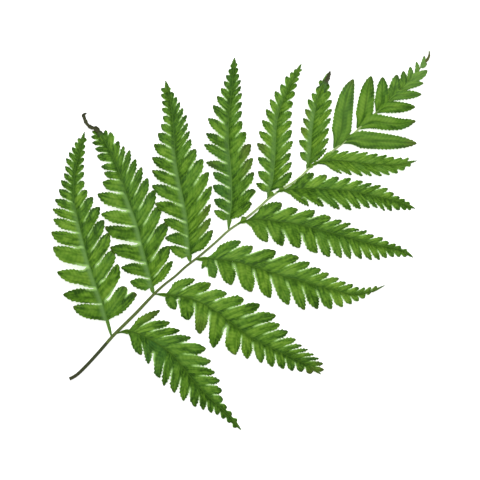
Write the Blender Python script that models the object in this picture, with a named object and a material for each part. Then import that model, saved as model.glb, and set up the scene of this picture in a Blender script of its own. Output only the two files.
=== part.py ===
"""Bracken frond: a cut fern frond lying on a flat surface.

A thin stalk runs from the cut end to the top of the frond. Twelve feather-shaped side branches (pinnae)
stand on it in pairs, each one cut into small leaflets (pinnules) along its own rib, and the top of the frond
carries simple lance-shaped leaflets that grow smaller towards the very tip. The stalk below the first pair
is bare.

Lengths are in millimetres on the flat sheet under the frond and are turned into metres at the end.
+Y runs along the stalk from the cut end to the tip, +X to the right of it and +Z up off the surface.
"""
import math

import bmesh
import bpy
import numpy as np
from mathutils import Vector
from mathutils.geometry import delaunay_2d_cdt

MM = 0.001

# Driving dimensions, in mm unless named otherwise
STALK_ANGLE_DEG = 42.3        # direction of the stalk on the sheet, above the horizontal
CENTRE_X = 316.16             # middle of the frond across the stalk, in turned sheet coordinates
CENTRE_Y = 40.22              # middle of the frond along the stalk, in turned sheet coordinates
STALK_RADIUS_FOOT = 1.75      # at the cut end
STALK_RADIUS_MID = 1.30       # half way up
STALK_RADIUS_TOP = 0.55       # at the tip
# in radii, across and up: flat below where it lies on the surface
STALK_SECTION = [(-0.62, 0.0), (0.62, 0.0), (1.0, 0.55), (0.95, 1.15), (0.45, 1.7), (-0.45, 1.7),
                 (-0.95, 1.15), (-1.0, 0.55)]
STALK_STEPS = 44
BARE_STALK = 52.0             # cut end to the colour change just below the first pair of pinnae
NODE_GAP = 0.3                # clear space between the bare stalk and the leafy part
LEAF_THICKNESS = 0.8          # of the thin blade, measured upright
RIB_THICKNESS = 1.7           # of the blade along the rib of a pinna, at the foot of the pinna
RIB_THICKNESS_TIP = 0.9
PINNA_STALK = (1.4, 1.6, 1.4, 1.6)  # half widths of the foot of a pinna, near and far side
ARCH_BASE = 3.0               # height of the arch of a pinna of no length
ARCH_PER_LENGTH = 0.020       # extra height for each mm of length
NEAR_DROOP = 0.45             # share of the rib height lost at the tips on the side towards the cut end
FAR_DROOP = 0.92              # and on the side towards the top: each pinna lies over the one before it
CROWN = 0.45                  # how far the edges of a pinnule lie under its middle
PINNULE_BEND = 0.04
PINNULE_REACH = 0.65          # how far a pinnule goes past the middle of its last visible tooth
# how a pinnule narrows to its tip: later for a larger first value, rounder for a smaller second one
BLUNTNESS = {("near", "prox"): (3.3, 0.78), ("near", "dist"): (3.0, 0.80),
             ("far", "prox"): (3.3, 0.78), ("far", "dist"): (4.4, 0.64)}
LEAFLET_BLUNTNESS = (3.6, 0.70)
SLIT = 0.38                   # half the open space between two pinnules
WIDTH_CAP = 1.15
BIG_PINNULE = 16.0
SMALL_PINNULE = 9.0
AXIS_STEPS = 24
ROOT_SPACING = 1.5            # least distance between two pinnules along the rib
FOOT_OPENING = 2.6            # how fast the first pinnule widens away from the rib

# Guide values read off the sheet by eye, in mm, x to the right and y down
RACHIS = [(69, 378.5), (76, 374.5), (86, 365), (99.7, 350), (112.4, 335.4), (125.7, 322.2), (136, 312),
          (145.5, 301.9), (155.3, 291.8), (164.5, 283.5), (175, 275.4), (184.6, 266.6), (195.3, 258.4),
          (205, 250.5), (215.7, 241.2), (228, 230), (240.4, 221.4), (250, 214), (260, 205.5), (267, 199),
          (279.7, 189.7), (291, 183), (301.5, 175), (309, 167.5), (321, 159), (334, 149), (346, 139.5),
          (356, 130.5), (366, 120.5), (376, 112), (389, 100), (402, 87.5), (413, 76), (420, 67),
          (424.6, 60.5), (428.2, 55.5), (428.8, 50)]

# costa: the rib of the pinna, from the rachis to its tip
# near: pinnule tips on the side towards the frond's foot; far: on the side towards its top
# base: half widths of its foot; cut: how deep the slits go; shift: how far a pinnule moves along the rib
PINNAE = {
    "left_1": dict(
        costa=[(111, 336), (107, 321), (101, 300), (95, 283), (88, 261), (82, 237), (76, 212), (73, 190),
               (75, 168), (79, 150), (84, 131)],
        near=[(73, 306), (63, 294), (57, 271.5), (53, 246.5), (51.3, 231.5), (53.3, 218.5), (52.5, 208.5),
              (55, 199), (59, 189), (61, 180), (64, 173), (65, 166), (66, 158), (69, 152), (72, 147),
              (75, 142), (78, 138)],
        far=[(136, 294), (123, 286), (117, 264), (113, 250), (108, 233), (103, 220), (99, 207), (92, 197),
             (86, 190), (83, 181), (83, 172), (83, 165), (83, 158), (84, 151), (84, 145), (85, 138)],
        width={("near", 1): (1.0, 0.95), ("near", 2): (0.72, 0.64), ("near", 3): (1.0, 0.74),
               ("near", 4): (1.22, 0.84), ("far", 0): (0.9, 1.7), ("far", 1): (1.7, 0.72),
               ("far", 2): (1.1, 0.7), ("far", 3): (1.35, 0.85), ("far", 4): (1.15, 1.0),
               ("far", 5): (1.0, 1.22), ("far", 6): (0.78, 1.25), ("far", 7): (0.72, 1.12),
               ("far", 8): (0.86, 1.0)},
        cuts={("far", 0): 0.16}, cut=(0.95, 0.55, 0.85, 0.45), foot_near=(10.0, 0.85), foot_far=(3.5, 0.1),
        lean=(66, 50, 52, 36), bare=16, base=(1.7, 1.8, 1.7, 1.8)),
    "left_2": dict(
        costa=[(153, 293), (151.5, 284), (148, 269), (143, 250), (136, 222), (129, 203), (121, 178),
               (113, 158), (106, 144), (97, 129)],
        near=[(130, 281), (121, 267), (110, 247), (105, 226.3), (101, 213.5), (97.5, 193.5), (102.5, 181.5),
              (104, 172), (101, 166), (97, 155), (95, 148), (92, 142), (91, 136), (92, 131)],
        far=[(172, 261), (169, 246), (167, 222), (160, 205), (154, 190), (147, 178), (141, 167), (135, 159),
             (129, 150), (123, 146), (118, 141), (110, 132), (105, 130)],
        width={("near", 1): (0.72, 0.96), ("near", 2): (0.76, 0.78), ("near", 3): (0.97, 0.84),
               ("near", 4): (0.97, 0.9), ("near", 5): (0.88, 0.84), ("near", 8): (1.0, 0.85),
               ("far", 1): (1.0, 1.0), ("far", 2): (0.76, 1.15), ("far", 3): (0.8, 1.0)},
        cut=(0.95, 0.6, 0.8, 0.45), foot_near=(5.6, 0.3), foot_far=(3.7, 0.12), lean=(63, 58, 52, 36),
        bare=6, base=(2.7, 2.8, 1.6, 1.6),
        shift={("near", 1): 2.0, ("near", 2): 1.5, ("near", 4): -2.0, ("near", 5): -1.5}),
    "left_3": dict(
        costa=[(190, 262), (189, 254), (188, 238), (186, 215), (182, 195), (178, 175), (175, 155),
               (173, 130), (171, 108), (165, 80)],
        near=[(170, 246), (165, 237.6), (163.5, 219), (155, 203), (152, 185), (152, 170), (152, 157),
              (154, 144), (158, 133), (161, 124), (163, 116), (162, 108), (162, 101), (161, 94), (161, 88)],
        far=[(212, 230), (210, 218), (210, 204), (211, 186), (208, 172), (202, 159), (195, 149), (190, 139),
             (189, 131), (187, 123), (186, 115), (182, 108), (179, 102), (176, 97), (172, 92), (168, 87)],
        width={("near", 1): (0.82, 1.35), ("near", 2): (0.56, 1.0), ("near", 3): (0.85, 1.08),
               ("near", 4): (0.86, 1.04), ("near", 5): (0.9, 0.95), ("far", 2): (1.0, 0.9),
               ("far", 3): (1.15, 1.0)},
        cut=(0.95, 0.55, 0.5, 0.45), foot_near=(6.0, 0.3), foot_far=(6.0, 0.12), lean=(60, 52, 50, 34),
        bare=6, base=(3.0, 3.0, 1.8, 2.6), shift={("near", 1): 7.5}),
    "left_4": dict(
        costa=[(228, 229), (229, 217), (231, 203), (231, 185), (230, 165), (228, 145), (228, 125),
               (229, 108), (231, 92), (234, 57)],
        near=[(214, 210), (214, 199), (213, 185), (213, 172), (206, 162), (204, 144), (206, 133),
              (208, 118), (213, 105), (217, 96), (221, 88), (224, 81), (226, 75), (229, 69), (231, 64)],
        far=[(251, 203), (253, 189), (253, 172), (252, 158), (250, 144), (245, 132), (241, 121), (241, 111),
             (241, 102), (241, 93), (240, 86), (240, 80), (238, 74), (237, 68), (236, 63)],
        width={("near", 5): (0.62, 1.25), ("near", 7): (0.75, 0.9), ("near", 8): (0.75, 0.95),
               ("far", 0): (1.0, 0.85), ("far", 1): (1.15, 1.0), ("far", 5): (0.9, 1.0)},
        cuts={("far", 0): 0.12}, cut=(0.9, 0.55, 0.5, 0.5), foot_near=(4.0, 0.3), foot_far=(3.8, 0.12),
        near_width=(0.88, 1.0), lean=(62, 48, 48, 34), bare=9, base=(2.1, 2.2, 2.0, 2.6),
        shift={("near", 4): 3.0, ("near", 5): 2.0, ("near", 6): 1.0}),
    "left_5": dict(
        costa=[(267, 198), (268.5, 191), (272, 180), (274, 160), (275, 142), (276, 125), (279, 110),
               (284, 97), (291, 82), (301, 63)],
        near=[(256, 183), (258, 171), (258, 157), (257, 143), (259, 131), (262, 120), (266, 109), (270, 99),
              (275, 91), (281, 84), (286, 76), (291, 72), (295, 69)],
        far=[(291, 172), (291, 162), (290, 153), (292, 141), (291, 130), (291, 121), (291, 112), (292, 102),
             (294, 92), (296, 84), (298, 78), (299, 73), (301, 69)],
        cut=(0.75, 0.5, 0.6, 0.45), foot_near=(2.5, 0.12), foot_far=(6.0, 0.12), near_width=(0.78, 1.0),
        lean=(58, 46, 46, 36), bare=5, base=(1.6, 1.6, 4.2, 6.0)),
    "left_6": dict(
        costa=[(306, 168), (308, 163), (310, 150), (311, 135), (313, 120), (316, 104), (320, 90), (326, 76),
               (329, 71)],
        near=[(300, 152), (299, 140), (301, 127), (303, 118), (305, 109), (308, 99), (312, 93), (317, 87),
              (320, 80)],
        far=[(326, 148), (328, 138), (328, 128), (330, 118), (331, 109), (331, 100), (330, 92), (328, 84)],
        cut=(0.7, 0.5, 0.3, 0.35), foot_near=(3.5, 0.12), foot_far=(2.2, 0.12), near_width=(0.78, 1.0),
        lean=(54, 46, 42, 34), bare=3, base=(1.6, 2.2, 2.5, 5.5)),
    "right_1": dict(
        costa=[(115, 333), (127, 330.5), (140, 334), (152, 340), (163, 347), (173, 355), (182, 366),
               (192, 379), (202, 390), (213, 401), (227, 414), (241, 430)],
        near=[(141, 354), (148, 363), (159.5, 377), (163.5, 385), (174, 392), (183, 400), (195, 406),
              (203, 409), (211, 412), (217, 414), (223, 418), (229, 422), (235, 427)],
        far=[(159, 310), (169, 322), (179, 330), (190, 337), (205, 348), (210, 360.5), (214, 372),
             (219, 380), (221, 390), (222, 399), (226, 407), (231, 414), (236, 421)],
        width={("near", 1): (1.1, 0.7), ("near", 2): (1.5, 0.8), ("near", 3): (1.45, 1.0),
               ("near", 4): (1.1, 1.0), ("far", 0): (0.9, 1.1), ("far", 1): (1.05, 1.0),
               ("far", 4): (1.1, 1.25), ("far", 5): (0.65, 1.05), ("far", 6): (0.8, 1.0),
               ("far", 10): (0.8, 0.85), ("far", 11): (0.8, 0.85), ("far", 12): (0.8, 0.85)},
        shift={("far", 2): 3.0, ("far", 3): 6.0, ("far", 4): 11.0, ("far", 5): 11.0, ("far", 6): 8.0,
               ("far", 7): 8.0, ("far", 8): 5.0, ("far", 9): 4.0, ("far", 10): 2.0},
        cuts={("far", 3): 0.4}, cut=(0.6, 0.5, 0.65, 0.5), foot_near=(7.6, 0.9), foot_far=(4.4, 0.0),
        lean=(52, 44, 46, 30), bare=12, base=(1.6, 3.4, 1.2, 2.0)),
    "right_2": dict(
        costa=[(154, 293.6), (165, 294), (180, 295.6), (193, 299), (206, 305), (217, 312), (228, 320),
               (240, 329), (252, 338), (266, 345), (280, 352), (296, 359), (309, 366), (321, 374)],
        near=[(175, 308.5), (188, 319), (199.5, 333), (213, 347), (235, 354), (247, 358), (261, 362),
              (272, 366), (283, 368), (292, 370), (301, 371), (310, 373)],
        far=[(194, 279), (210, 283), (226, 293), (243, 299), (259, 304), (275, 315), (279, 324), (287, 331),
             (295, 339), (301, 345), (307, 349), (313, 354), (318, 358), (322, 363), (323, 369)],
        width={("near", 0): (1.0, 0.6), ("near", 1): (1.5, 1.0), ("near", 2): (1.12, 0.95),
               ("near", 3): (0.8, 0.76), ("near", 4): (1.0, 1.0), ("near", 6): (0.72, 1.0),
               ("far", 1): (1.12, 1.0), ("far", 0): (1.0, 0.85), ("far", 2): (1.0, 0.7),
               ("far", 3): (1.6, 1.0), ("far", 5): (1.0, 1.0), ("far", 8): (0.9, 1.0),
               ("far", 14): (0.6, 0.4)},
        shift={("far", 1): 2.0, ("far", 2): 5.5, ("far", 3): 11.0, ("far", 4): 18.0, ("far", 5): 8.0,
               ("far", 6): 8.0, ("far", 7): 8.0, ("far", 8): 5.0, ("far", 9): 2.5, ("far", 10): 1.0},
        cut=(0.85, 0.6, 0.65, 0.5), foot_near=(6.8, 0.5), foot_far=(6.4, 0.05), lean=(66, 50, 42, 34),
        bare=10, base=(1.9, 2.6, 1.5, 1.7)),
    "right_3": dict(
        costa=[(194, 259), (206, 258), (220, 259), (236, 261), (252, 266), (268, 271), (284, 276),
               (300, 280), (316, 285), (332, 289), (348, 293), (360, 293), (372, 290.5), (385, 284.5)],
        near=[(201.5, 268), (214.5, 277), (231, 284), (251, 291), (270, 297), (288, 304), (304, 309),
              (317, 308), (331, 308), (342, 306), (351, 303), (358, 300), (364, 297), (370, 292)],
        far=[(240, 241), (252, 246), (275, 251), (298, 257), (309, 262), (320, 269), (328, 273), (338, 278),
             (345, 282), (352, 284), (358, 287.5), (364, 287.5), (370, 287), (376, 286)],
        width={("near", 1): (1.55, 1.0), ("near", 3): (1.0, 0.92), ("near", 4): (0.95, 0.86),
               ("near", 5): (0.9, 1.05), ("near", 6): (0.92, 1.0), ("far", 2): (1.0, 0.88),
               ("far", 3): (1.15, 1.0), ("far", 7): (0.92, 1.0)},
        cuts={("near", 0): 0.35}, cut=(0.9, 0.55, 0.5, 0.55), foot_near=(2.0, 0.3), foot_far=(7.0, 0.12),
        lean=(60, 48, 42, 30), bare=10, base=(2.6, 3.2, 1.6, 2.2),
        shift={("far", 5): 1.0, ("far", 6): 2.5}),
    "right_4": dict(
        costa=[(236, 224), (248, 219.5), (262, 219), (278, 221), (294, 223), (310, 227), (326, 231),
               (342, 235), (358, 240), (374, 244), (390, 247), (402, 250), (413, 257)],
        near=[(267, 241), (282, 245), (299, 247), (317, 252), (329, 256), (341, 257), (350, 258),
              (361, 258), (371, 259), (379, 259), (386, 257), (393, 256), (399, 256), (405, 256)],
        far=[(281, 203), (297, 209), (314, 210), (330, 217), (341, 220), (350, 223), (358.5, 229.3),
             (366, 230), (373, 235), (382, 237.3), (388, 242), (395, 244), (400, 246), (406, 251)],
        width={("near", 2): (1.0, 0.85), ("near", 3): (1.25, 0.75), ("near", 4): (1.5, 1.0),
               ("far", 8): (0.88, 1.0), ("far", 13): (0.5, 0.8)},
        shift={("far", 3): 1.5, ("far", 4): 2.5, ("far", 5): 4.0, ("far", 6): -4.0, ("far", 7): -1.0},
        cut=(0.6, 0.55, 0.5, 0.5), foot_near=(8.0, 0.7), foot_far=(7.2, 0.12), lean=(58, 46, 38, 30),
        bare=8, base=(2.2, 2.4, 2.0, 5.5)),
    "right_5": dict(
        costa=[(275, 192), (284, 189.5), (300, 188), (316, 188), (332, 189), (348, 190), (362, 193),
               (376, 196), (390, 199), (402, 203), (415, 208)],
        near=[(308, 205.5), (323, 205.5), (339, 208.5), (350.7, 209.3), (360, 208), (369, 207), (377, 207),
              (384, 210), (391, 210), (399, 209), (405, 209), (410, 209)],
        far=[(313, 173), (326, 175), (338, 177), (350, 178), (362, 181), (371, 183), (380, 185), (387, 188),
             (393, 193), (399, 197), (404, 199), (409, 203)],
        cut=(0.5, 0.45, 0.45, 0.4), foot_near=(1.9, 0.12), foot_far=(6.0, 0.12),
        width={("near", 0): (1.0, 1.15), ("near", 1): (0.85, 1.0), ("near", 2): (0.9, 1.0)},
        lean=(40, 40, 40, 32), bare=6, base=(1.4, 1.8, 2.0, 3.5)),
    "right_6": dict(
        costa=[(311, 165), (320, 161), (334, 160), (350, 161), (366, 163), (382, 164), (398, 164),
               (417, 160)],
        near=[(341, 173), (351, 174), (362, 175), (371, 175), (381, 175), (389, 174), (397, 172),
              (404, 168), (410, 164)],
        far=[(338, 150.5), (348, 151), (358, 151), (367, 152), (377, 154), (386, 155), (393, 157),
             (401, 158), (408, 158)],
        cut=(0.35, 0.25, 0.3, 0.2), foot_near=(1.6, 0.12), foot_far=(4.0, 0.12), lean=(34, 30, 30, 24),
        bare=4, base=(1.4, 2.0, 1.4, 2.0)),
}

# simple toothed leaflets of the upper part: midrib from the rachis to the tip, greatest width
LEAFLETS = {
    "left_7": ([(334, 148), (340.2, 133), (343.4, 110), (347.3, 92), (353, 78.3)], 19.7),
    "left_8": ([(357, 128), (363, 116), (365.7, 100), (367.8, 87), (370.8, 75.2)], 17.3),
    "left_9": ([(376, 112), (380.4, 103), (381.8, 93), (382.2, 76.3)], 14.1),
    "left_10": ([(388, 101), (393, 92), (395, 83), (396.6, 73.8)], 12.2),
    "left_11": ([(400, 90), (403.2, 82), (403, 70.2)], 8.4),
    "left_12": ([(408, 82), (410, 75), (410, 66)], 6.6),
    "left_13": ([(415, 74), (417, 68), (416, 61)], 4.8),
    "left_14": ([(420, 67), (423, 62), (424, 55)], 4.6),
    "right_7": ([(341, 142), (353, 138.7), (370, 139.8), (390, 141.4), (416.5, 142.7)], 17.7),
    "right_8": ([(357, 128), (372, 121.1), (385, 122.4), (400, 123.4), (415.5, 120.3)], 15.2),
    "right_9": ([(376, 112), (386, 106.7), (398, 106.7), (415, 106.3)], 12.5),
    "right_10": ([(388, 101), (396, 95.2), (408, 94.2), (421.4, 93.6)], 10.2),
    "right_11": ([(400, 90), (407, 85.6), (415, 83.6), (423.4, 82.4)], 7.6),
    "right_12": ([(408, 82), (415, 77), (421, 74), (427.2, 69.6)], 9.4),
    "right_13": ([(420, 67), (424, 65), (426.6, 62.5)], 3.8),
    "tip": ([(423.4, 63.5), (427, 58.8), (428.8, 54.6), (428.7, 49.8)], 2.7),
}

# withered ends of two pinnae, dried to a thin curl: line, width at its foot, width at its end
WITHERED = {
    "left_2_end": ([(101, 135), (96, 128.5), (91, 127), (87, 124), (84.5, 119.5), (83.5, 116), (82.5, 115),
                    (84, 113.5), (86, 112.5)], 5.0, 2.2),
    "left_6_end": ([(320, 90), (323.6, 84), (327.2, 78), (329.8, 70.5)], 8.6, 2.0),
}


def smooth_line(points, count):
    """A smooth line through the points (Catmull-Rom), cut into equal steps of length."""
    p = np.asarray(points, float)
    p = np.vstack([2 * p[0] - p[1], p, 2 * p[-1] - p[-2]])
    fine = []
    for i in range(1, len(p) - 2):
        a, b, c, d = p[i - 1], p[i], p[i + 1], p[i + 2]
        for k in range(12):
            t = k / 12
            fine.append(0.5 * (2 * b + (c - a) * t + (2 * a - 5 * b + 4 * c - d) * t * t
                               + (3 * b - a - 3 * c + d) * t ** 3))
    fine.append(p[-2])
    fine = np.array(fine)
    step = np.r_[0, np.cumsum(np.hypot(*np.diff(fine, axis=0).T))]
    s = np.linspace(0, step[-1], count + 1)
    return np.c_[np.interp(s, step, fine[:, 0]), np.interp(s, step, fine[:, 1])], step[-1]


class Rib:
    """A line on the sheet that can be asked for its place and direction at any length along it."""

    def __init__(self, points, count=200):
        self.p, self.length = smooth_line(points, count)
        self.s = np.linspace(0, self.length, count + 1)

    def at(self, s):
        s = min(max(s, 0), self.length)
        return np.array([np.interp(s, self.s, self.p[:, 0]), np.interp(s, self.s, self.p[:, 1])])

    def tangent(self, s):
        d = self.at(s + 2.0) - self.at(s - 2.0)
        return d / np.hypot(*d)

    def nearest(self, q):
        d = np.hypot(*(self.p - q).T)
        i = int(np.argmin(d))
        return self.s[i], d[i]


def along(pair, share):
    return pair[0] + (pair[1] - pair[0]) * share


def pinnule_axes(spec, rib, key):
    """Centre line of every pinnule of one side, as a bent line from the rib to its tip."""
    tips = spec[key]
    lean = spec["lean"][:2] if key == "near" else spec["lean"][2:]
    axes, roots = [], []
    last = spec["bare"] + 0.5
    for i, tip in enumerate(tips):
        tip = np.array(tip, float)
        share = i / max(1, len(tips) - 1)
        s_tip, reach = rib.nearest(tip)
        s = s_tip - reach / math.tan(math.radians(along(lean, share)))
        s += spec.get("shift", {}).get((key, i), 0.0)
        s = max(s, last + ROOT_SPACING)
        s = min(s, rib.length - 0.5)
        last = s
        root = rib.at(s)
        d = tip - root
        tip = tip + d / np.hypot(*d) * PINNULE_REACH
        d = tip - root
        across = np.array([-d[1], d[0]])
        if across @ rib.tangent(s) > 0:
            across = -across
        mid = (root + tip) / 2 + across * PINNULE_BEND * (2 - share)
        t = np.linspace(0, 1, AXIS_STEPS + 1)[:, None]
        axes.append((1 - t) ** 2 * root + 2 * t * (1 - t) * mid + t * t * tip)
        roots.append(s)
    return axes, roots


def half_gap(axis, other):
    """Half the distance from each point of one centre line to the neighbouring one."""
    line = np.vstack([other, other[-1] + (other[-1] - other[-2]) * 6])
    dense = np.vstack([line[k] + (line[k + 1] - line[k]) * u for k in range(len(line) - 1)
                       for u in (0, 0.25, 0.5, 0.75)] + [line[-1]])
    return np.array([np.min(np.hypot(*(dense - q).T)) for q in axis]) / 2


def pinnules_of(spec, key):
    """The pinnules of one side with their half widths towards the foot and towards the tip of the pinna."""
    rib = Rib(spec["costa"])
    axes, roots = pinnule_axes(spec, rib, key)
    cut = spec["cut"][:2] if key == "near" else spec["cut"][2:]
    foot = spec["foot_near" if key == "near" else "foot_far"]
    t = np.linspace(0, 1, AXIS_STEPS + 1)
    taper = {}
    for name in ("prox", "dist"):
        late, round_off = BLUNTNESS[(key, name)]
        taper[name] = (1 - t ** late) ** round_off
    count = len(axes)
    out = []
    for i in range(count):
        halves = {}
        shared = {}
        for name, j in (("prox", i - 1), ("dist", i + 1)):
            if not 0 <= j < count:
                continue
            deep = along(cut, (i + j) / 2 / max(1, count - 1))
            deep = spec.get("cuts", {}).get((key, min(i, j)), deep)
            half = half_gap(axes[i], axes[j])
            start = 1 - deep
            slit = np.where(t < start, 0, np.clip((t - start) / max(0.08, deep), 0, 1) ** 0.6 * SLIT)
            cap = WIDTH_CAP * np.median(half[4:14])
            plain = spec.get(key + "_width", (1.0, 1.0))
            own = spec.get("width", {}).get((key, i), plain)[0 if name == "prox" else 1]
            theirs = spec.get("width", {}).get((key, j), plain)[1 if name == "prox" else 0]
            width = np.minimum(half - slit, cap * taper[name]) * own
            halves[name] = np.clip(width, 0, np.maximum(half - slit, 0) * (2 - min(1.0, theirs)))
            shared[name] = start
        if "prox" not in halves:
            halves["prox"] = foot[0] * taper["prox"] * np.clip(foot[1] + t * FOOT_OPENING, 0, 1)
        if "dist" not in halves:
            halves["dist"] = np.median(halves["prox"][4:14]) * taper["dist"]
        out.append(dict(s=roots[i], axis=axes[i], prox=halves["prox"], dist=halves["dist"],
                        start_prox=shared.get("prox"), start_dist=shared.get("dist"),
                        length=float(np.hypot(*(axes[i][-1] - axes[i][0])))))
    return rib, out


def edge_point(rib, p, name, t):
    """Point on the edge of a pinnule at the share t of its length."""
    k = t * AXIS_STEPS
    i = min(int(k), AXIS_STEPS - 1)
    f = k - i
    centre = p["axis"][i] * (1 - f) + p["axis"][i + 1] * f
    d = p["axis"][i + 1] - p["axis"][i]
    n = np.array([-d[1], d[0]]) / np.hypot(*d)
    if n @ rib.tangent(p["s"]) > 0:
        n = -n
    half = p[name][i] * (1 - f) + p[name][i + 1] * f
    return centre + n * (half if name == "prox" else -half)


def rib_height(s, length):
    """Height of the underside of a pinna along its rib: up from the stalk, over an arch, down to the tip."""
    u = min(max(s / length, 0), 1)
    arch = (ARCH_BASE + ARCH_PER_LENGTH * length) * math.sin(math.pi * u ** 0.75)
    return max(0.0, 0.55 * (1 - u) ** 6 + arch)


def leaf_height(rib, s, t, key, side_share=0.0):
    """Height of the underside of a pinnule at the share t of its length."""
    droop = NEAR_DROOP if key == "near" else FAR_DROOP
    z = rib_height(s + t * 4.0, rib.length) * (1 - droop * t ** 1.5)
    return max(0.0, z - CROWN * side_share ** 2)


def rib_thickness(s, length):
    return RIB_THICKNESS + (RIB_THICKNESS_TIP - RIB_THICKNESS) * min(1.0, s / length)


def turned(x, y):
    """A point of the sheet in the frame of the part, in mm."""
    a = math.radians(STALK_ANGLE_DEG)
    return (x * math.sin(a) + y * math.cos(a) - CENTRE_X,
            x * math.cos(a) - y * math.sin(a) - CENTRE_Y)


def edge_shares(p):
    """Where the outline of a pinnule is given a corner, towards the foot and towards the tip of the pinna."""
    if p["length"] >= BIG_PINNULE:
        prox, dist = [0.30, 0.62, 0.86], [0.82, 0.48]
    elif p["length"] >= SMALL_PINNULE:
        prox, dist = [0.45, 0.80], [0.62]
    else:
        prox, dist = [0.65], []
    low_prox = (p["start_prox"] or 0) + 0.08
    low_dist = (p["start_dist"] or 0) + 0.08
    return [t for t in prox if t > low_prox], [t for t in dist if t > low_dist]


def pinna_outline(spec):
    """Outline of one pinna with the heights of its corners, and the points inside it."""
    outline = []
    inside = []
    sides = {}
    for key in ("near", "far"):
        rib, pins = pinnules_of(spec, key)
        sides[key] = pins
        chain = []
        sign = 1 if key == "near" else -1
        for i, p in enumerate(pins):
            prox, dist = edge_shares(p)
            if i == 0:
                base = spec.get("base", PINNA_STALK)
                base = base[:2] if key == "near" else base[2:]
                for s, half in zip((0.0, spec["bare"]), base):
                    tan = rib.tangent(s + 1.0)
                    n = np.array([-tan[1], tan[0]])
                    if n @ (p["axis"][-1] - p["axis"][0]) < 0:
                        n = -n
                    q = rib.at(s) + n * half
                    chain.append((q, rib_height(s, rib.length), rib_thickness(s, rib.length)))
            for t in prox:
                chain.append((edge_point(rib, p, "prox", t), leaf_height(rib, p["s"], t, key, 1.0),
                              LEAF_THICKNESS))
            chain.append((p["axis"][-1], leaf_height(rib, p["s"], 1.0, key), LEAF_THICKNESS))
            for t in dist:
                chain.append((edge_point(rib, p, "dist", t), leaf_height(rib, p["s"], t, key, 1.0),
                              LEAF_THICKNESS))
            if i + 1 < len(pins):
                nxt = pins[i + 1]
                t = p["start_dist"]
                q = (edge_point(rib, p, "dist", t) + edge_point(rib, nxt, "prox", t)) / 2
                s = (p["s"] + nxt["s"]) / 2
                chain.append((q, leaf_height(rib, s, t, key, 0.6), LEAF_THICKNESS))
            if p["length"] >= BIG_PINNULE:
                inside.append((p["axis"][AXIS_STEPS // 2], leaf_height(rib, p["s"], 0.5, key),
                               LEAF_THICKNESS * 1.15))
        outline.append(chain)
    tip = (rib.p[-1], 0.0, LEAF_THICKNESS)
    ring = outline[0] + [tip] + outline[1][::-1]
    stations = [spec["bare"] * 0.5, spec["bare"]]
    for p in sides["near"]:
        if p["s"] > stations[-1] + 4.0 and p["s"] < rib.length - 4.0:
            stations.append(p["s"])
    spine = [(rib.at(s), rib_height(s, rib.length), rib_thickness(s, rib.length)) for s in stations]
    return ring, inside, spine


def leaflet_outline(points, width, teeth):
    """Outline of a simple lance-shaped leaflet with a toothed edge."""
    rib = Rib(points, 80)
    length = rib.length
    ring_left, ring_right = [], []
    lift = 1.2 + 0.03 * length
    for k in range(teeth * 2 + 1):
        t = k / (teeth * 2 + 1)
        s = t * length
        tan = rib.tangent(s)
        n = np.array([-tan[1], tan[0]])
        half = width / 2 * min(1.0, 0.16 + t * 3.2) * (1 - t ** LEAFLET_BLUNTNESS[0]) ** LEAFLET_BLUNTNESS[1]
        notch = 1.0 if k % 2 else 0.93
        z = max(0.0, lift * math.sin(math.pi * min(1.0, t * 0.9 + 0.08)) - 0.3)
        ring_left.append((rib.at(s) + n * half * notch, z, LEAF_THICKNESS))
        ring_right.append((rib.at(s) - n * half * notch, z, LEAF_THICKNESS))
    tip = (rib.p[-1], 0.0, LEAF_THICKNESS)
    spine = []
    for t in (0.12, 0.37, 0.62, 0.85):
        z = lift * math.sin(math.pi * min(1.0, t * 0.9 + 0.08))
        spine.append((rib.at(t * length), max(0.0, z), LEAF_THICKNESS * 1.2))
    return ring_left + [tip] + ring_right[::-1], [], spine


def withered_outline(points, width_foot, width_end):
    """Outline of a dried end: a narrow strip that rises off the leaf and comes down again."""
    rib = Rib(points, 60)
    left, right, spine = [], [], []
    steps = 8
    for k in range(steps + 1):
        t = k / steps
        s = t * rib.length
        tan = rib.tangent(s)
        n = np.array([-tan[1], tan[0]])
        half = along((width_foot, width_end), min(1.0, t * 2.2)) / 2
        z = 0.4 + 1.6 * math.sin(math.pi * t)
        left.append((rib.at(s) + n * half, z, LEAF_THICKNESS))
        right.append((rib.at(s) - n * half, z, LEAF_THICKNESS))
        if 0 < k < steps and k % 2:
            spine.append((rib.at(s), z + 0.2, LEAF_THICKNESS))
    return left + right[::-1], [], spine


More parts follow.
